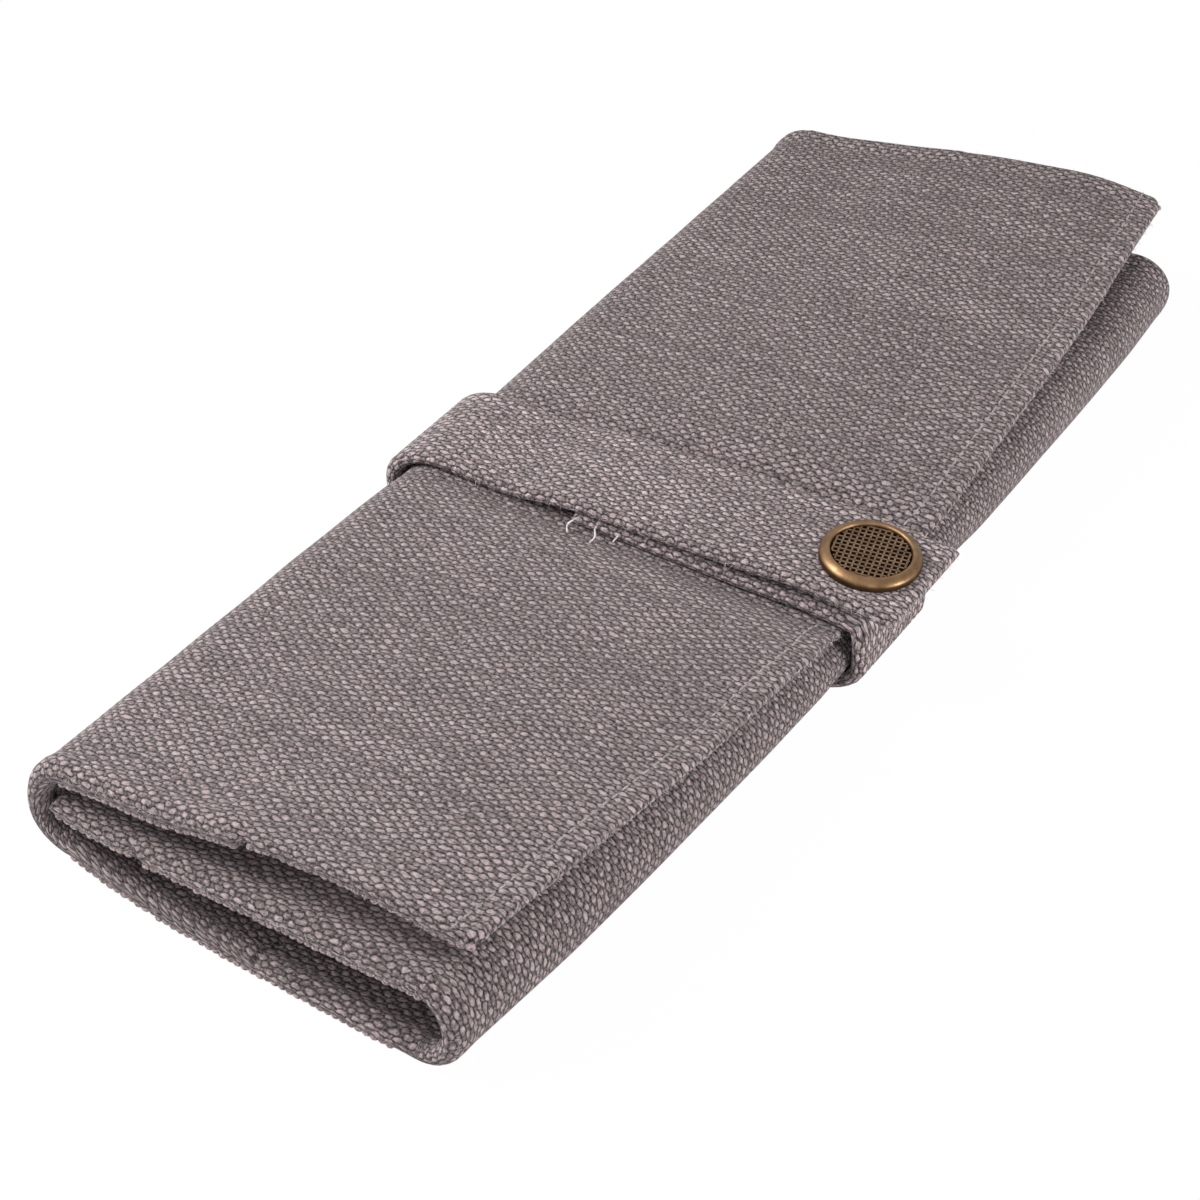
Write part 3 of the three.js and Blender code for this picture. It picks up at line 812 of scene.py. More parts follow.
# %% Stud, socket and eyelet
SOCKET_TOP = SNAP_HEIGHT - 0.1
SOCKET_ROOF = SOCKET_TOP - 0.35
stud_shape = [
    (0, 0.8), (1.35, 0.8), (1.35, 0.1), (4.05, 0.1), (4.2, 0.16), (4.2, 0.3), (4.05, 0.4), (2.4, 0.4),
    (2.2, 0.44), (2.2, 0.55), (2.42, 0.7), (2.45, 0.76), (2.3, 0.92), (1.9, 1.0), (0, 1.0),
]
stud = turned("stud", stud_shape, [0, 0, 0, 0, 0.2, 0.6, 0.6, 0.2, 0.1, 0.2, 0.7, 0.9, 0.9, 0.6, 0.5], 64)
socket_shape = [
    (1.6, SOCKET_TOP), (1.6, SOCKET_ROOF), (3.6, SOCKET_ROOF), (3.6, 0.75), (3.0, 0.75), (3.0, 0.55),
    (3.1, 0.5), (5.3, 0.5), (5.55, 0.6), (5.6, 0.8), (5.6, 1.4), (5.5, 1.65), (5.2, SOCKET_TOP),
    (1.6, SOCKET_TOP),
]
socket = turned("socket", socket_shape, [0, 0, 0, 0, 0.4, 0.7, 0.7, 0.4, 0.7, 0.5, 0.2, 0.2, 0, 0], 64)
flange_shape = [(0, -0.7), (2.1, -0.7), (2.8, -0.68), (3.0, -0.55), (3.1, -0.3), (3.0, -0.1), (1.1, -0.1)]
eyelet_shape = raised(flange_shape, -BELT) + [(1.1, 0.7), (0, 0.7)]
eyelet = turned("eyelet", eyelet_shape, [0.3, 0.5, 0.8, 0.7, 0.3, 0, 0, 0, 0], 64)

# %% [markdown]
# ## Node helpers
# The finishes and the small things that repeat, such as stitches and fibres, are node trees. A node could be
# made, set and linked line by line. Here one call adds it with its settings and its inputs, and an input is
# either a value or the output of another node.

# %% Nodes, groups and growing things
def node_group(kind, name, inputs, outputs):
    """A new group from labels and socket kinds, with its input and output nodes."""
    tree = bpy.data.node_groups.new(name, kind)
    for way, sockets in (("INPUT", inputs), ("OUTPUT", outputs)):
        for label, socket in sockets.items():
            tree.interface.new_socket(label, in_out=way, socket_type="NodeSocket" + socket)
    return tree, tree.nodes.new("NodeGroupInput"), tree.nodes.new("NodeGroupOutput")


def feed(tree, node, inputs):
    """Links inputs to outputs of other nodes, or sets their own values."""
    for key, value in inputs.items():
        if isinstance(value, bpy.types.NodeSocket):
            tree.links.new(value, node.inputs[key])
        else:
            node.inputs[key].default_value = value


def add(tree, kind, inputs=None, **settings):
    node = tree.nodes.new(kind)
    for key, value in settings.items():
        setattr(node, key, value)
    feed(tree, node, inputs or {})
    return node


def maths(tree, operation, *values):
    return add(tree, "ShaderNodeMath", dict(enumerate(values)), operation=operation).outputs[0]


def vector(tree, x=0.0, y=0.0, z=0.0):
    return add(tree, "ShaderNodeCombineXYZ", {0: x, 1: y, 2: z}).outputs[0]


def growing_tree(name, inputs):
    """A geometry tree with named inputs; gives the tree, its inputs and its end."""
    sockets = {"Geometry": "Geometry", **inputs, "Material": "Material"}
    tree, start, end = node_group("GeometryNodeTree", name, sockets, {"Geometry": "Geometry"})
    return tree, start.outputs, end


def end_tree(tree, given, end, geometry):
    """Makes instances real, gives them the material and ends the tree."""
    real = add(tree, "GeometryNodeRealizeInstances", {0: geometry})
    paint = add(tree, "GeometryNodeSetMaterial", {"Geometry": real.outputs[0], "Material": given["Material"]})
    feed(tree, end, {0: paint.outputs[0]})


def grow(name, source, tree, values):
    """Runs a tree on a carrier object and returns the result as a plain mesh object."""
    bpy.context.scene.collection.objects.link(source)
    modifier = source.modifiers.new("grow", "NODES")
    modifier.node_group = tree
    for item in tree.interface.items_tree:
        if item.item_type == "SOCKET" and item.in_out == "INPUT" and item.name in values:
            modifier[item.identifier] = values[item.name]
    bpy.context.view_layer.update()
    graph = bpy.context.evaluated_depsgraph_get()
    mesh = bpy.data.meshes.new_from_object(source.evaluated_get(graph))
    source.modifiers.remove(modifier)
    bpy.data.objects.remove(source)
    mesh.name = name
    piece = bpy.data.objects.new(name, mesh)
    bpy.context.scene.collection.objects.link(piece)
    print(name, len(mesh.polygons), "faces")
    return piece


def grow_along(name, lines, tree, finish, lengths, **others):
    """Grows a tree along lines of (x, y, z) from the mat's middle; lengths are in millimetres too."""
    data = bpy.data.curves.new(name, "CURVE")
    data.dimensions = "3D"
    for line in lines:
        metres = (np.array(line, float) + [MIDDLE, 0, 0]) * MM
        spline = data.splines.new("POLY")
        spline.points.add(len(metres) - 1)
        with_weight = np.concatenate([metres, np.ones((len(metres), 1))], 1)
        spline.points.foreach_set("co", with_weight.astype(np.float32).ravel())
    source = bpy.data.objects.new(name + " path", data)
    values = {label: length * MM for label, length in lengths.items()}
    return grow(name, source, tree, {**values, **others, "Material": finish})


# %% [markdown]
# ## Finishes
# The canvas is a plain weave: yarns along the roll stand 1.27 mm apart and yarns across it 0.87 mm apart, as
# measured on the photograph, and the cross yarns lie on top as short pale grains. One node group draws the
# weave from the cloth's own UV in millimetres. It gives the height, a slow grain, a value for each yarn and
# fine flecks. Every cloth uses it with its own colours, and the low places between yarns take a painted shade
# colour. The belt's colours are the canvas painted lighter, as painted light, and the lining's are the canvas
# painted darker, as painted shade.

# %% Shader helpers
def noise_of(tree, place, scale, detail=2.0, roughness=0.5):
    inputs = {"Vector": place, "Scale": scale, "Detail": detail, "Roughness": roughness}
    return add(tree, "ShaderNodeTexNoise", inputs, noise_dimensions="3D").outputs["Fac"]


def blend_colour(tree, share, first, second):
    inputs = {"Factor": share, 6: first, 7: second}
    return add(tree, "ShaderNodeMix", inputs, data_type="RGBA").outputs[2]


def map_range(tree, value, low, high, to_low=0.0, to_high=1.0):
    inputs = {"Value": value, "From Min": low, "From Max": high, "To Min": to_low, "To Max": to_high}
    return add(tree, "ShaderNodeMapRange", inputs, interpolation_type="SMOOTHSTEP").outputs["Result"]


def relief(tree, height, depth, strength=1.0):
    inputs = {"Height": height, "Distance": depth * MM, "Strength": strength}
    return add(tree, "ShaderNodeBump", inputs).outputs[0]


def new_finish(name, inputs):
    """A material, its tree and its surface node."""
    finish = bpy.data.materials.new(name)
    finish.use_nodes = True
    surface = finish.node_tree.nodes["Principled BSDF"]
    feed(finish.node_tree, surface, inputs)
    return finish, finish.node_tree, surface


# %% The weave
ALONG_PITCH, ACROSS_PITCH = 1.27, 0.87
YARN_ROUND = 0.8
GROOVE = 0.5
FIBRE = 0.55
weave, weave_in, weave_out = node_group(
    "ShaderNodeTree", "plain weave",
    {"UV": "Vector", "Along pitch": "Float", "Across pitch": "Float"},
    {"Height": "Float", "Grain": "Float", "Yarn": "Float", "Fleck": "Float"},
)
weave_maths = partial(maths, weave)
weave_vector = partial(add, weave, "ShaderNodeVectorMath")
cloth_place = weave_in.outputs["UV"]


def swayed(place, scale, detail, amount):
    """Moves a place in the cloth by noise, so that no yarn runs dead straight."""
    inputs = {"Vector": cloth_place, "Scale": scale, "Detail": detail}
    cloud = add(weave, "ShaderNodeTexNoise", inputs, noise_dimensions="2D").outputs["Color"]
    shift = weave_vector({0: cloud, 1: (0.5, 0.5, 0.5)}, operation="SUBTRACT").outputs[0]
    return weave_vector({0: shift, 1: amount, 2: place}, operation="MULTIPLY_ADD").outputs[0]


def over_under(place, cell):
    """One at the middle of a float on top, minus one where the yarn dives below."""
    turn = weave_maths("ADD", weave_maths("SUBTRACT", place, 0.5), cell)
    return weave_maths("COSINE", weave_maths("MULTIPLY", turn, math.pi))


def barrel(offset, width):
    """Round side of a yarn: one on its crest, nothing at its edges."""
    square = weave_maths("POWER", weave_maths("ABSOLUTE", weave_maths("MULTIPLY", offset, 2 / width)), 2.0)
    return weave_maths("SQRT", weave_maths("MAXIMUM", weave_maths("SUBTRACT", 1.0, square), 0.0))


def yarn_height(wave, crimp, side, lift):
    waved = weave_maths("ADD", weave_maths("MULTIPLY", wave, crimp), lift)
    return weave_maths("ADD", waved, weave_maths("MULTIPLY", side, YARN_ROUND))


def yarn_value(cell):
    """A random value for each yarn."""
    return add(weave, "ShaderNodeTexWhiteNoise", {"W": cell}, noise_dimensions="1D").outputs["Value"]


place = swayed(swayed(cloth_place, 0.35, 2.0, (1.1, 0.7, 0.0)), 1.1, 1.0, (0.7, 0.5, 0.0))
split = add(weave, "ShaderNodeSeparateXYZ", {0: place}).outputs
column = weave_maths("DIVIDE", split[0], weave_in.outputs["Along pitch"])
row = weave_maths("DIVIDE", split[1], weave_in.outputs["Across pitch"])
column_cell, row_cell = weave_maths("FLOOR", column), weave_maths("FLOOR", row)
in_column = weave_maths("SUBTRACT", weave_maths("FRACT", column), 0.5)
in_row = weave_maths("SUBTRACT", weave_maths("FRACT", row), 0.5)
cross_wave = over_under(column, row_cell)
long_wave = weave_maths("MULTIPLY", over_under(row, column_cell), -1.0)
cross = yarn_height(cross_wave, 0.42, barrel(in_row, 0.98), 0.19)
long = yarn_height(long_wave, 0.36, barrel(in_column, 0.82), -0.28)
hollow = weave_maths("MULTIPLY", weave_maths("MULTIPLY", in_column, in_column), GROOVE)
height = weave_maths("SUBTRACT", weave_maths("MAXIMUM", cross, long), hollow)
over = weave_maths("GREATER_THAN", cross, long)
below = weave_maths("SUBTRACT", 1.0, over)
cross_value = weave_maths("MULTIPLY", yarn_value(row_cell), over)
long_value = weave_maths("MULTIPLY", yarn_value(weave_maths("ADD", column_cell, 0.37)), below)
stretched = weave_vector({0: cloth_place, 1: (1.6, 5.0, 1.0)}, operation="MULTIPLY").outputs[0]
fibres = noise_of(weave, stretched, 1.4, 4.0, 0.75)
feed(weave, weave_out, {
    "Height": weave_maths("ADD", height, weave_maths("MULTIPLY", fibres, FIBRE)),
    "Grain": noise_of(weave, cloth_place, 0.85, 2.0, 0.6),
    "Yarn": weave_maths("ADD", cross_value, weave_maths("MULTIPLY", long_value, 0.4)),
    "Fleck": fibres,
})
print("weave group with", len(weave.nodes), "nodes")

# %% Canvas and lining
WEAVE_DEPTH = 0.66
BLACK = (0.0, 0.0, 0.0, 1.0)


def canvas_finish(name, shadow, body, light, warm):
    finish, tree, surface = new_finish(name, {
        "Roughness": 0.92, "Specular IOR Level": 0.2, "Sheen Weight": 0.25, "Sheen Roughness": 0.45})
    uv = add(tree, "ShaderNodeUVMap", uv_map="cloth").outputs[0]
    pitches = {"Along pitch": ALONG_PITCH, "Across pitch": ACROSS_PITCH}
    cloth = add(tree, "ShaderNodeGroup", node_tree=weave)
    feed(tree, cloth, {"UV": uv, **pitches})
    patch = noise_of(tree, uv, 0.07, 3.0)
    speckle = noise_of(tree, uv, 2.6, 3.0, 0.7)
    tone = maths(tree, "MULTIPLY", cloth.outputs["Grain"], 0.7)
    tone = maths(tree, "ADD", tone, maths(tree, "MULTIPLY", cloth.outputs["Yarn"], 0.12))
    tone = maths(tree, "ADD", tone, maths(tree, "MULTIPLY", cloth.outputs["Fleck"], 1.1))
    colour = blend_colour(tree, map_range(tree, tone, 0.8, 1.12), body, light)
    colour = blend_colour(tree, map_range(tree, speckle, 0.56, 0.72, 0.0, 0.55), colour, warm)
    # Low places of the weave take the shadow colour: painted shade in the hollows between yarns.
    crown = map_range(tree, cloth.outputs["Height"], 0.76, 1.36)
    colour = blend_colour(tree, crown, shadow, colour)
    colour = blend_colour(tree, map_range(tree, patch, 0.3, 0.7, 0.0, 0.12), colour, BLACK)
    feed(tree, surface, {"Base Color": colour, "Normal": relief(tree, cloth.outputs["Height"], WEAVE_DEPTH)})
    return finish


canvas = canvas_finish(
    "taupe canvas",
    (0.011, 0.007, 0.007, 1), (0.17, 0.12, 0.12, 1), (0.6, 0.47, 0.47, 1), (0.12, 0.072, 0.06, 1))
# The belt is the same canvas painted about a third lighter: painted light on the belt, which stands on top of
# the roll.
lit_belt_canvas = canvas_finish(
    "belt canvas in painted light",
    (0.013, 0.009, 0.009, 1), (0.23, 0.167, 0.167, 1), (0.78, 0.62, 0.62, 1), (0.15, 0.09, 0.075, 1))
# The lining is the same canvas painted about an eighth darker: painted shade for the layer that lies inside
# the folds.
shaded_lining_finish = canvas_finish(
    "taupe lining in painted shade",
    (0.011, 0.007, 0.007, 1), (0.15, 0.107, 0.107, 1), (0.53, 0.415, 0.415, 1), (0.11, 0.066, 0.055, 1))


# %% Thread, fibre and hem yarn
def thread_finish(name, colour, pale):
    finish, tree, surface = new_finish(name, {"Roughness": 0.8, "Sheen Weight": 0.2})
    place = add(tree, "ShaderNodeTexCoord").outputs["Object"]
    strands = map_range(tree, noise_of(tree, place, 2600.0, 3.0), 0.3, 0.7)
    feed(tree, surface, {"Base Color": blend_colour(tree, strands, colour, pale)})
    return finish


thread = thread_finish("grey thread", (0.19, 0.16, 0.155, 1), (0.38, 0.345, 0.34, 1))
fuzz_finish = thread_finish("pale fibre", (0.4, 0.35, 0.345, 1), (0.7, 0.66, 0.65, 1))
loop_finish = thread_finish("hem yarn", (0.07, 0.048, 0.048, 1), (0.4, 0.31, 0.31, 1))


# %% Antique brass, dark brass and spring steel
def metal_finish(name, dark, bright, rough, use_mask=False):
    finish, tree, surface = new_finish(name, {"Metallic": 1.0})
    place = add(tree, "ShaderNodeTexCoord").outputs["Object"]
    cloud = noise_of(tree, place, 420.0, 4.0, 0.6)
    speck = noise_of(tree, place, 3200.0, 2.0)
    share = map_range(tree, cloud, 0.3, 0.75, 0.0, 0.45)
    if use_mask:
        # The mask adds worn brass and painted highlight along the edges.
        mask = add(tree, "ShaderNodeAttribute", attribute_name="wear_and_highlight")
        share = maths(tree, "ADD", share, mask.outputs["Fac"])
    share = maths(tree, "SUBTRACT", share, map_range(tree, speck, 0.55, 0.8, 0.0, 0.25))
    clear = add(tree, "ShaderNodeClamp", {0: share}).outputs[0]
    feed(tree, surface, {
        "Base Color": blend_colour(tree, clear, dark, bright),
        "Roughness": map_range(tree, cloud, 0.2, 0.8, rough + 0.1, rough - 0.06),
        "Normal": relief(tree, speck, 0.03, 0.25),
    })
    return finish


antique_brass = metal_finish("antique brass", (0.055, 0.029, 0.015, 1), (0.24, 0.145, 0.075, 1), 0.42, True)
grid_brass = metal_finish("grid brass", (0.15, 0.095, 0.06, 1), (0.46, 0.31, 0.19, 1), 0.4)
dark_brass = metal_finish("dark brass", (0.02, 0.014, 0.01, 1), (0.05, 0.036, 0.026, 1), 0.5)
spring_steel = metal_finish("spring steel", (0.3, 0.3, 0.29, 1), (0.55, 0.55, 0.54, 1), 0.3)

# %% [markdown]
# ## The raised grid on the cap
# The sunk disc carries two sets of thin bars that cross at right angles, thirteen each way. Bars on a
# regular spacing are a job for Geometry Nodes: a line of points is laid across the disc, a bar is placed on
# each point and stretched to the length of the chord there, and a second copy is turned by a quarter.

# %% Grid of bars on the sunk disc
bar_labels = ("Radius", "Pitch", "Bar width", "Bar height", "Level", "Turn")
bars, given, end = growing_tree("bars on a disc", {label: "Float" for label in bar_labels})
bars_maths = partial(maths, bars)
count_each = bars_maths("FLOOR", bars_maths("DIVIDE", given["Radius"], given["Pitch"]))
first_bar = bars_maths("MULTIPLY", bars_maths("MULTIPLY", count_each, given["Pitch"]), -1.0)
line = add(bars, "GeometryNodeMeshLine", {
    "Count": bars_maths("ADD", bars_maths("MULTIPLY", count_each, 2.0), 1.0),
    "Start Location": vector(bars, y=first_bar, z=given["Level"]),
    "Offset": vector(bars, y=given["Pitch"]),
}, mode="OFFSET")
where = add(bars, "GeometryNodeInputPosition").outputs[0]
bar_y = bars_maths("ABSOLUTE", add(bars, "ShaderNodeSeparateXYZ", {0: where}).outputs[1])
square = bars_maths("SUBTRACT", bars_maths("POWER", given["Radius"], 2.0), bars_maths("POWER", bar_y, 2.0))
chord = bars_maths("MULTIPLY", bars_maths("SQRT", bars_maths("MAXIMUM", square, 0.0)), 2.0)
bar_size = vector(bars, 1.0, given["Bar width"], given["Bar height"])
put = add(bars, "GeometryNodeInstanceOnPoints", {
    "Points": line.outputs[0],
    "Instance": add(bars, "GeometryNodeMeshCube", {"Size": bar_size}).outputs[0],
    "Scale": vector(bars, chord, 1.0, 1.0),
})
both = add(bars, "GeometryNodeJoinGeometry")
for extra in (0.0, math.pi / 2):
    angle = vector(bars, z=bars_maths("ADD", given["Turn"], extra))
    turner = add(bars, "GeometryNodeTransform", {"Geometry": put.outputs[0], "Rotation": angle})
    feed(bars, both, {0: turner.outputs[0]})
end_tree(bars, given, end, both.outputs[0])
grid_carrier = bpy.data.objects.new("grid carrier", bpy.data.meshes.new("grid carrier"))
cap_grid = grow("cap_grid", grid_carrier, bars, {
    "Radius": (INSERT_RADIUS - 0.1) * MM,
    "Pitch": 1.02 * MM,
    "Bar width": 0.3 * MM,
    "Bar height": 0.4 * MM,
    "Level": (CAP_LOW + 1.56) * MM,
    "Turn": math.radians(14),
    "Material": grid_brass,
})
cap_grid.data.transform(SNAP_PLACE)

# %% [markdown]
# ## Stitches
# A hem seam runs along the flap's free edge, four seams divide the sleeves and short seams hold the belt's
# short end. A stitch is a short thread that dips into the cloth at both ends. Each seam is a curve on the
# cloth, and Geometry Nodes lay one stitch at each step along it.

# %% Stitch tree
sewing, given, end = growing_tree(
    "stitches on a seam", {"Step": "Float", "Stitch": "Float", "Thread": "Float"})
ball = add(sewing, "GeometryNodeMeshUVSphere", {"Segments": 8, "Rings": 6, "Radius": 1.0})
seam_inputs = {"Curve": given["Geometry"], "Length": given["Step"]}
way = add(sewing, "GeometryNodeInputTangent").outputs[0]
half_stitch = maths(sewing, "MULTIPLY", given["Stitch"], 0.5)
lay = add(sewing, "GeometryNodeInstanceOnPoints", {
    "Points": add(sewing, "GeometryNodeResampleCurve", seam_inputs, mode="LENGTH").outputs[0],
    "Instance": ball.outputs[0],
    "Rotation": add(sewing, "FunctionNodeAlignRotationToVector", {"Vector": way}, axis="X").outputs[0],
    "Scale": vector(sewing, half_stitch, given["Thread"], given["Thread"]),
})
end_tree(sewing, given, end, lay.outputs[0])


def sew(name, seams, step=2.6, stitch=1.9):
    return grow_along(name, seams, sewing, thread, {"Step": step, "Stitch": stitch, "Thread": 0.18})


def clear_of_belt(end_gap, belt_gap):
    """The two stretches of the roll that the belt leaves free."""
    return (-HALF + end_gap, BELT_NEAR - belt_gap), (BELT_FAR + belt_gap, HALF - end_gap)


# %% Seams of the flap, the sleeves and the belt
HEM_SEAM = 4.0
hem_seams = []
for low, high in clear_of_belt(1.5, 1):
    line_ys = np.linspace(low, high, 90)
    line_xs = np.array([flap_edge(y) - HEM_SEAM for y in line_ys])
    hem_seams.append([(x, y, float(flap_top(x, y)) + 0.16) for x, y in zip(line_xs, line_ys)])
flap_stitches = sew("flap_stitches", hem_seams)

sleeve_seams = []
line_ys = np.linspace(-HALF + SLEEVE_SETBACK + 2, HALF - SLEEVE_SETBACK - 2, 120)
for k in range(SLEEVES + 1):
    line_xs = [LEFT_X + (RIGHT_X - bow(y) - LEFT_X) * k / SLEEVES for y in line_ys]
    sleeve_seams.append([
        (x, y + float(flare(x, y)), FLOOR + LINING + float(under(x, y)) + 0.22)
        for x, y in zip(line_xs, line_ys)
    ])
sleeve_stitches = sew("sleeve_stitches", sleeve_seams)

tail_z = on_flap(TAIL_END + 4) + BELT
belt_ys = np.linspace(BELT_NEAR + 2.5, BELT_FAR - 2.5, 20)
tail_seams = [[(TAIL_END + along, y, tail_z) for y in belt_ys] for along in (4, 9)]
stud_stitches = sew("stud_stitches", tail_seams, 2.3, 1.8)

# %% [markdown]
# ## Loose fibres and thread ends
# Cut and turned canvas is never clean: pale fibres stand along its hems, a paler fringe shows under each
# turned edge, yarns loop round the turned ends and the belt's tail has loose thread ends. Fibres are placed
# along an edge by Geometry Nodes with a fixed seed, loops by the stitch tree, and a thread is a curve with a
# thin round section.

# %% Fuzz and thread trees
FIBRE_BEND = {"Start": (0, 0, 0), "Middle": (0.25, 0.1, 0.5), "End": (0.6, 0.35, 0.6)}
fuzz, given, end = growing_tree(
    "fuzz on an edge", {"Step": "Float", "Length": "Float", "Thread": "Float", "Seed": "Int"})
arc = add(fuzz, "GeometryNodeCurveQuadraticBezier", {"Resolution": 4})
for label, place in FIBRE_BEND.items():
    scaled = add(fuzz, "ShaderNodeVectorMath", operation="SCALE")
    feed(fuzz, scaled, {0: place, "Scale": given["Length"]})
    feed(fuzz, arc, {label: scaled.outputs[0]})
round_section = add(fuzz, "GeometryNodeCurvePrimitiveCircle", {"Resolution": 3, "Radius": given["Thread"]})
fibre_inputs = {"Curve": arc.outputs[0], "Profile Curve": round_section.outputs[0]}
edge_inputs = {"Curve": given["Geometry"], "Length": given["Step"]}
turn_inputs = {0: (-math.pi,) * 3, 1: (math.pi,) * 3, "Seed": given["Seed"]}
size_inputs = {2: 0.4, 3: 1.3, "Seed": maths(fuzz, "ADD", given["Seed"], 7.0)}
strew = add(fuzz, "GeometryNodeInstanceOnPoints", {
    "Points": add(fuzz, "GeometryNodeResampleCurve", edge_inputs, mode="LENGTH").outputs[0],
    "Instance": add(fuzz, "GeometryNodeCurveToMesh", fibre_inputs).outputs[0],
    "Rotation": add(fuzz, "FunctionNodeRandomValue", turn_inputs, data_type="FLOAT_VECTOR").outputs[0],
    "Scale": add(fuzz, "FunctionNodeRandomValue", size_inputs, data_type="FLOAT").outputs[1],
})
end_tree(fuzz, given, end, strew.outputs[0])

strand, given, end = growing_tree("thread on a path", {"Thread": "Float"})
strand_section = add(strand, "GeometryNodeCurvePrimitiveCircle", {"Resolution": 6, "Radius": given["Thread"]})
strand_mesh = add(strand, "GeometryNodeCurveToMesh", {
    "Curve": given["Geometry"], "Profile Curve": strand_section.outputs[0], "Fill Caps": True})
end_tree(strand, given, end, strand_mesh.outputs[0])


def add_fuzz(name, edges, seed):
    lengths = {"Step": 0.35, "Length": 0.95, "Thread": 0.03}
    return grow_along(name, edges, fuzz, fuzz_finish, lengths, Seed=seed)


def add_threads(name, lines, radius):
    return grow_along(name, lines, strand, fuzz_finish, {"Thread": radius})


# %% Edges that carry fuzz
def flap_end_line(y, depth):
    xs = np.linspace(LEFT_X, flap_edge(y) - 1, 60)
    return [(x, y, float(flap_top(x, y)) - depth) for x in xs]


def inner_end_line(y, depth):
    xs = np.linspace(RIGHT_X - bow(y), INNER_TIP + 1, 60)
    return [(x, y + float(flare(x, y)), float(inner_top(x, y)) - depth) for x in xs]


def flap_edge_point(y):
    edge = flap_edge(y)
    return edge - 0.1, y, float(flap_top(edge - 0.3, y)) - 0.7


AT_END = HALF - 0.1
flap_edges = [[flap_edge_point(y) for y in np.linspace(low, high, 80)] for low, high in clear_of_belt(2, 0.5)]
flap_edges += [flap_end_line(-AT_END, 1.0), flap_end_line(AT_END, 1.0)]
flap_fuzz = add_fuzz("flap_fuzz", flap_edges, 3)
inner_fuzz = add_fuzz("inner_fuzz", [inner_end_line(-AT_END, 1.2), inner_end_line(AT_END, 1.2)], 5)
belt_side_line = [(x, BELT_NEAR, z + 1.1) for x, z in snap_path[2:]]
belt_end_line = [(snap_path[-1][0], y, snap_path[-1][1] + 1.1) for y in (BELT_NEAR + 1, BELT_FAR - 1)]
belt_fuzz = add_fuzz("belt_fuzz", [belt_side_line, belt_end_line], 9)

# %% Pale fringe under the turned ends
FRINGE_RADIUS = 0.14
FRINGE_INSET = 0.7
rng = np.random.default_rng(4)
lined_end = LEFT_X + FLAP_LINING_SHARE * (flap_edge(-HALF) - LEFT_X)
FLAP_LINED = {"flap lined": (-WIDTH, lined_end - 1)}
FLAP_PARTS = {**FLAP_LINED, "flap": (lined_end + 2, WIDTH)}
INNER_PARTS = {"inner lined": (INNER_STEP + 1, WIDTH), "inner tip": (-WIDTH, INNER_STEP - 1)}


def fringe(line, sway=0.1):
    path = np.array(line)
    return path + rng.normal(0, sway, path.shape)


def hem_low(bead):
    """How far below the outer face the lowest visible line of a turned end lies."""
    return (CANVAS + bead) / 2 * 1.8 - bead * BEAD_OUT


def hem_lines(line_of, parts, sunk=0.0):
    """Lines along both turned ends, one for each thickness of hem between two places."""
    lines = []
    for side in (-1, 1):
        for bead, (low, high) in parts.items():
            line = line_of(side * (HALF - FRINGE_INSET), hem_low(BEADS[bead]) - sunk)
            lines.append([point for point in line if low < point[0] < high])
    return lines


flap_lines = [fringe(line) for line in hem_lines(flap_end_line, FLAP_LINED)]
flap_fringe = add_threads("flap_fringe", flap_lines, FRINGE_RADIUS)
inner_lines = [fringe(line) for line in hem_lines(inner_end_line, INNER_PARTS)]
inner_fringe = add_threads("inner_fringe", inner_lines, FRINGE_RADIUS)

# %% Yarn loops along the turned ends
LOOP_STEP, LOOP_LENGTH, LOOP_RADIUS, LOOP_SUNK = 1.45, 1.6, 0.58, 0.12


def add_loops(name, lines):
    uneven = [fringe(line, 0.09) for line in lines]
    lengths = {"Step": LOOP_STEP, "Stitch": LOOP_LENGTH, "Thread": LOOP_RADIUS}
    return grow_along(name, uneven, sewing, loop_finish, lengths)


def base_end_line(y):
    xs = np.linspace(LEFT_X, RIGHT_X - bow(y) - 6, 60)
    return [(x, y + float(flare(x, y)), float(under(x, y)) + LOOP_RADIUS) for x in xs]


flap_loops = add_loops("flap_loops", hem_lines(flap_end_line, FLAP_PARTS, LOOP_SUNK))
inner_loops = add_loops("inner_loops", hem_lines(inner_end_line, INNER_PARTS, LOOP_SUNK))
base_loops = add_loops("base_loops", [base_end_line(side * (HALF - 0.5)) for side in (-1, 1)])

# %% Loose thread ends at the belt's tail
# Points of each thread, from the tail's near corner
TAIL_THREADS = [
    [(1.5, 1, 1.6), (1.2, -0.7, 2.0), (0.2, -1.8, 1.2), (1.3, -3.2, 0.9)],
    [(5, 1, 1.2), (5.2, -0.9, 1.8), (6.2, -2.0, 1.0), (5.8, -3.4, 0.6)],
    [(9.4, 1, 1.2), (9.6, -0.6, 1.5), (9.2, -1.4, 0.8)],
]
tail_corner = np.array([TAIL_END, BELT_NEAR, on_flap(TAIL_END)])
tail_lines = [smooth_path(tail_corner + points) for points in TAIL_THREADS]
tail_threads = add_threads("tail_threads", tail_lines, 0.16)

# %% [markdown]
# ## Dressing
# Each piece gets its finish. Pieces that were grown by a tree already carry their finish. The spring ring is
# hidden, so its solid stays and only gets a finish.

# %% Dress the pieces
for piece in (mat_flap_side, mat_inner_side):
    piece.data.materials.append(canvas)
for piece in (belt_wrap, belt_stud_end, belt_snap_end):
    piece.data.materials.append(lit_belt_canvas)
for piece in (flap_lining, inner_lining, sleeve_cloth):
    piece.data.materials.append(shaded_lining_finish)
for piece in (cap, stud, socket, eyelet):
    piece.data.materials.append(antique_brass)
cap_disc.data.materials.append(dark_brass)
spring = frame["nodes"]["snap_spring"]
spring.data.materials.clear()
spring.data.materials.append(spring_steel)

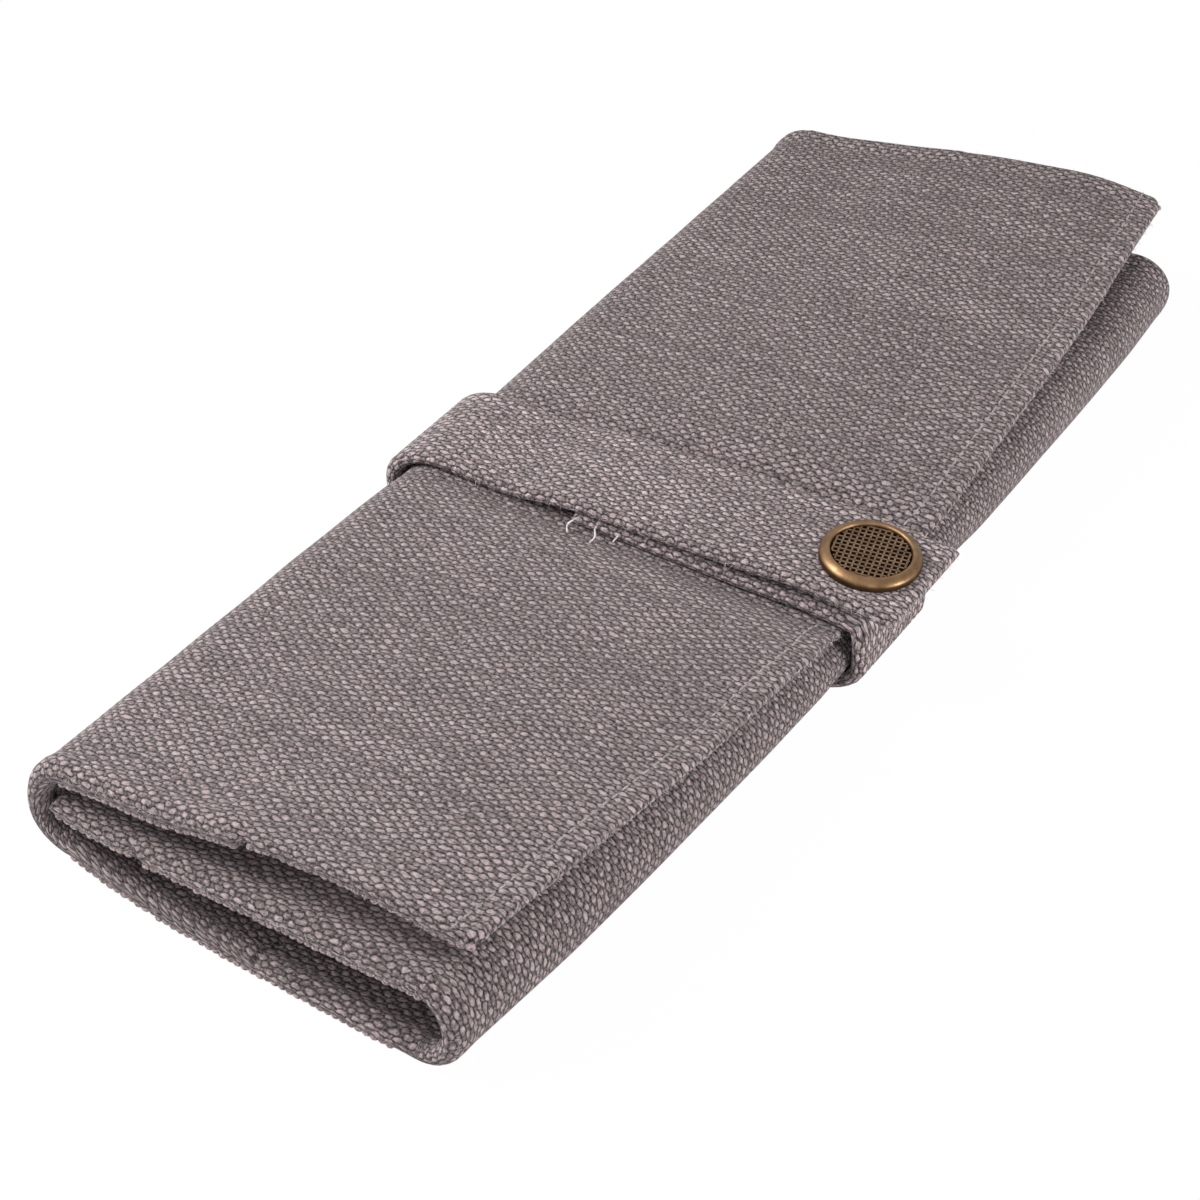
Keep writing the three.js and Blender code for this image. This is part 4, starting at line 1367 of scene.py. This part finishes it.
# %% [markdown]
# ## Joining the cloth to the moving bodies
# The base's cloth lies lower than about 6 mm, even at its curled near corner, and the flap's cloth higher
# than 13.9 mm. The mat, the linings and the belt are baked where they lie, and the sleeves, stitches, fibres,
# loops, threads and snap parts ride on their bodies.

# %% Bake, ride and replace
def bend(piece):
    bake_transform(piece)


bend(mat_flap_side)
bend(mat_inner_side)
bend(flap_lining)
bend(inner_lining)
bend(belt_wrap)
bend(belt_stud_end)
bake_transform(belt_snap_end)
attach(sleeve_cloth, "base")
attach(sleeve_stitches, "base")
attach(base_loops, "base")
for piece in (flap_stitches, flap_fuzz, flap_fringe, flap_loops):
    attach(piece, "flap")
for piece in (inner_fuzz, inner_fringe, inner_loops):
    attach(piece, "inner_panel")
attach(belt_fuzz, "strap_upper")
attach(tail_threads, "strap_lower")
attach(stud_stitches, "strap_lower")
for piece in (cap, cap_disc, cap_grid, socket):
    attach(piece, "strap_upper")
for piece in (stud, eyelet):
    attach(piece, "strap_lower")
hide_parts("base_canvas", "flap_canvas")
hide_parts("base_canvas", "inner_canvas", "inner_edge")
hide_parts("flap_pocket")
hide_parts("inner_pocket")
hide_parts("base_pocket")
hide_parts("divider_seam_1", "divider_seam_2", "divider_seam_3", "divider_seam_4")
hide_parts("strap_base", "strap_wrap")
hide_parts("strap_stud_end")
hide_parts("strap_snap_end")
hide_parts("snap_cap")
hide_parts("snap_cap_insert")
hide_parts("snap_cap_insert")
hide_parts("snap_socket")
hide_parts("snap_stud")
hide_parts("snap_eyelet")

# %% [markdown]

# %% [markdown]
# ## Floor and light
# The picture is a studio shot on white. The floor is pale and keeps a soft shadow, and to the camera it is
# lifted to white, so no extra light falls on the cloth. A large lamp stands at the upper left and a weaker
# one in front. A third stands low at the right and lights the side of the low fold, and the world fills the
# rest.

# %% Floor
FLOOR_DROP = 0.3
FLOOR_WHITE = 0.985


def seen_share(tree):
    """One for camera, glossy and transmission rays and nothing for the rest."""
    rays = add(tree, "ShaderNodeLightPath").outputs
    bent = maths(tree, "MAXIMUM", rays["Is Glossy Ray"], rays["Is Transmission Ray"])
    return maths(tree, "MAXIMUM", rays["Is Camera Ray"], bent)


floor_mesh = bpy.data.meshes.new("floor")
floor_mesh.from_pydata([(-3, -3, 0), (3, -3, 0), (3, 3, 0), (-3, 3, 0)], [], [(0, 1, 2, 3)])
floor = bpy.data.objects.new("floor", floor_mesh)
floor_mesh.transform(Matrix.Translation((0, 0, -FLOOR_DROP * MM)))
bpy.context.scene.collection.objects.link(floor)
floor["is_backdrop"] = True
floor_finish, tree, surface = new_finish("pale floor", {
    "Base Color": (0.8, 0.8, 0.8, 1), "Roughness": 0.9, "Specular IOR Level": 0.0})
glow = add(tree, "ShaderNodeEmission")
mix = add(tree, "ShaderNodeMixShader", {
    0: maths(tree, "MULTIPLY", seen_share(tree), FLOOR_WHITE), 1: surface.outputs[0], 2: glow.outputs[0]})
feed(tree, tree.nodes["Material Output"], {"Surface": mix.outputs[0]})
floor_mesh.materials.append(floor_finish)

# %% World and lamps
FILL = 0.35
world = bpy.data.worlds.new("studio")
bpy.context.scene.world = world
world.use_nodes = True
tree = world.node_tree
strength = maths(tree, "ADD", maths(tree, "MULTIPLY", seen_share(tree), 1.0 - FILL), FILL)
feed(tree, tree.nodes["Background"], {"Strength": strength, "Color": (1, 1, 1, 1)})


def lamp(name, place, aim, size, watts):
    data = bpy.data.lights.new(name, "AREA")
    data.size = size
    data.energy = watts
    light = bpy.data.objects.new(name, data)
    bpy.context.scene.collection.objects.link(light)
    towards = Vector(aim) - Vector(place)
    light.matrix_world = Matrix.Translation(place) @ towards.to_track_quat("-Z", "Y").to_matrix().to_4x4()


lamp("key", (-0.26, -0.2, 0.38), (0, 0, 0), 0.3, 3.5)
lamp("front", (0.5, -0.9, 0.6), (0, 0, 0), 0.6, 2.0)
lamp("side", (0.56, 0.02, 0.05), (0, 0, 0), 0.22, 3.9)
bpy.context.scene.view_settings.view_transform = "Standard"

# %% Sizes and the end
low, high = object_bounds()
print("visual box", [round(v / MM, 1) for v in (*low, *high)])
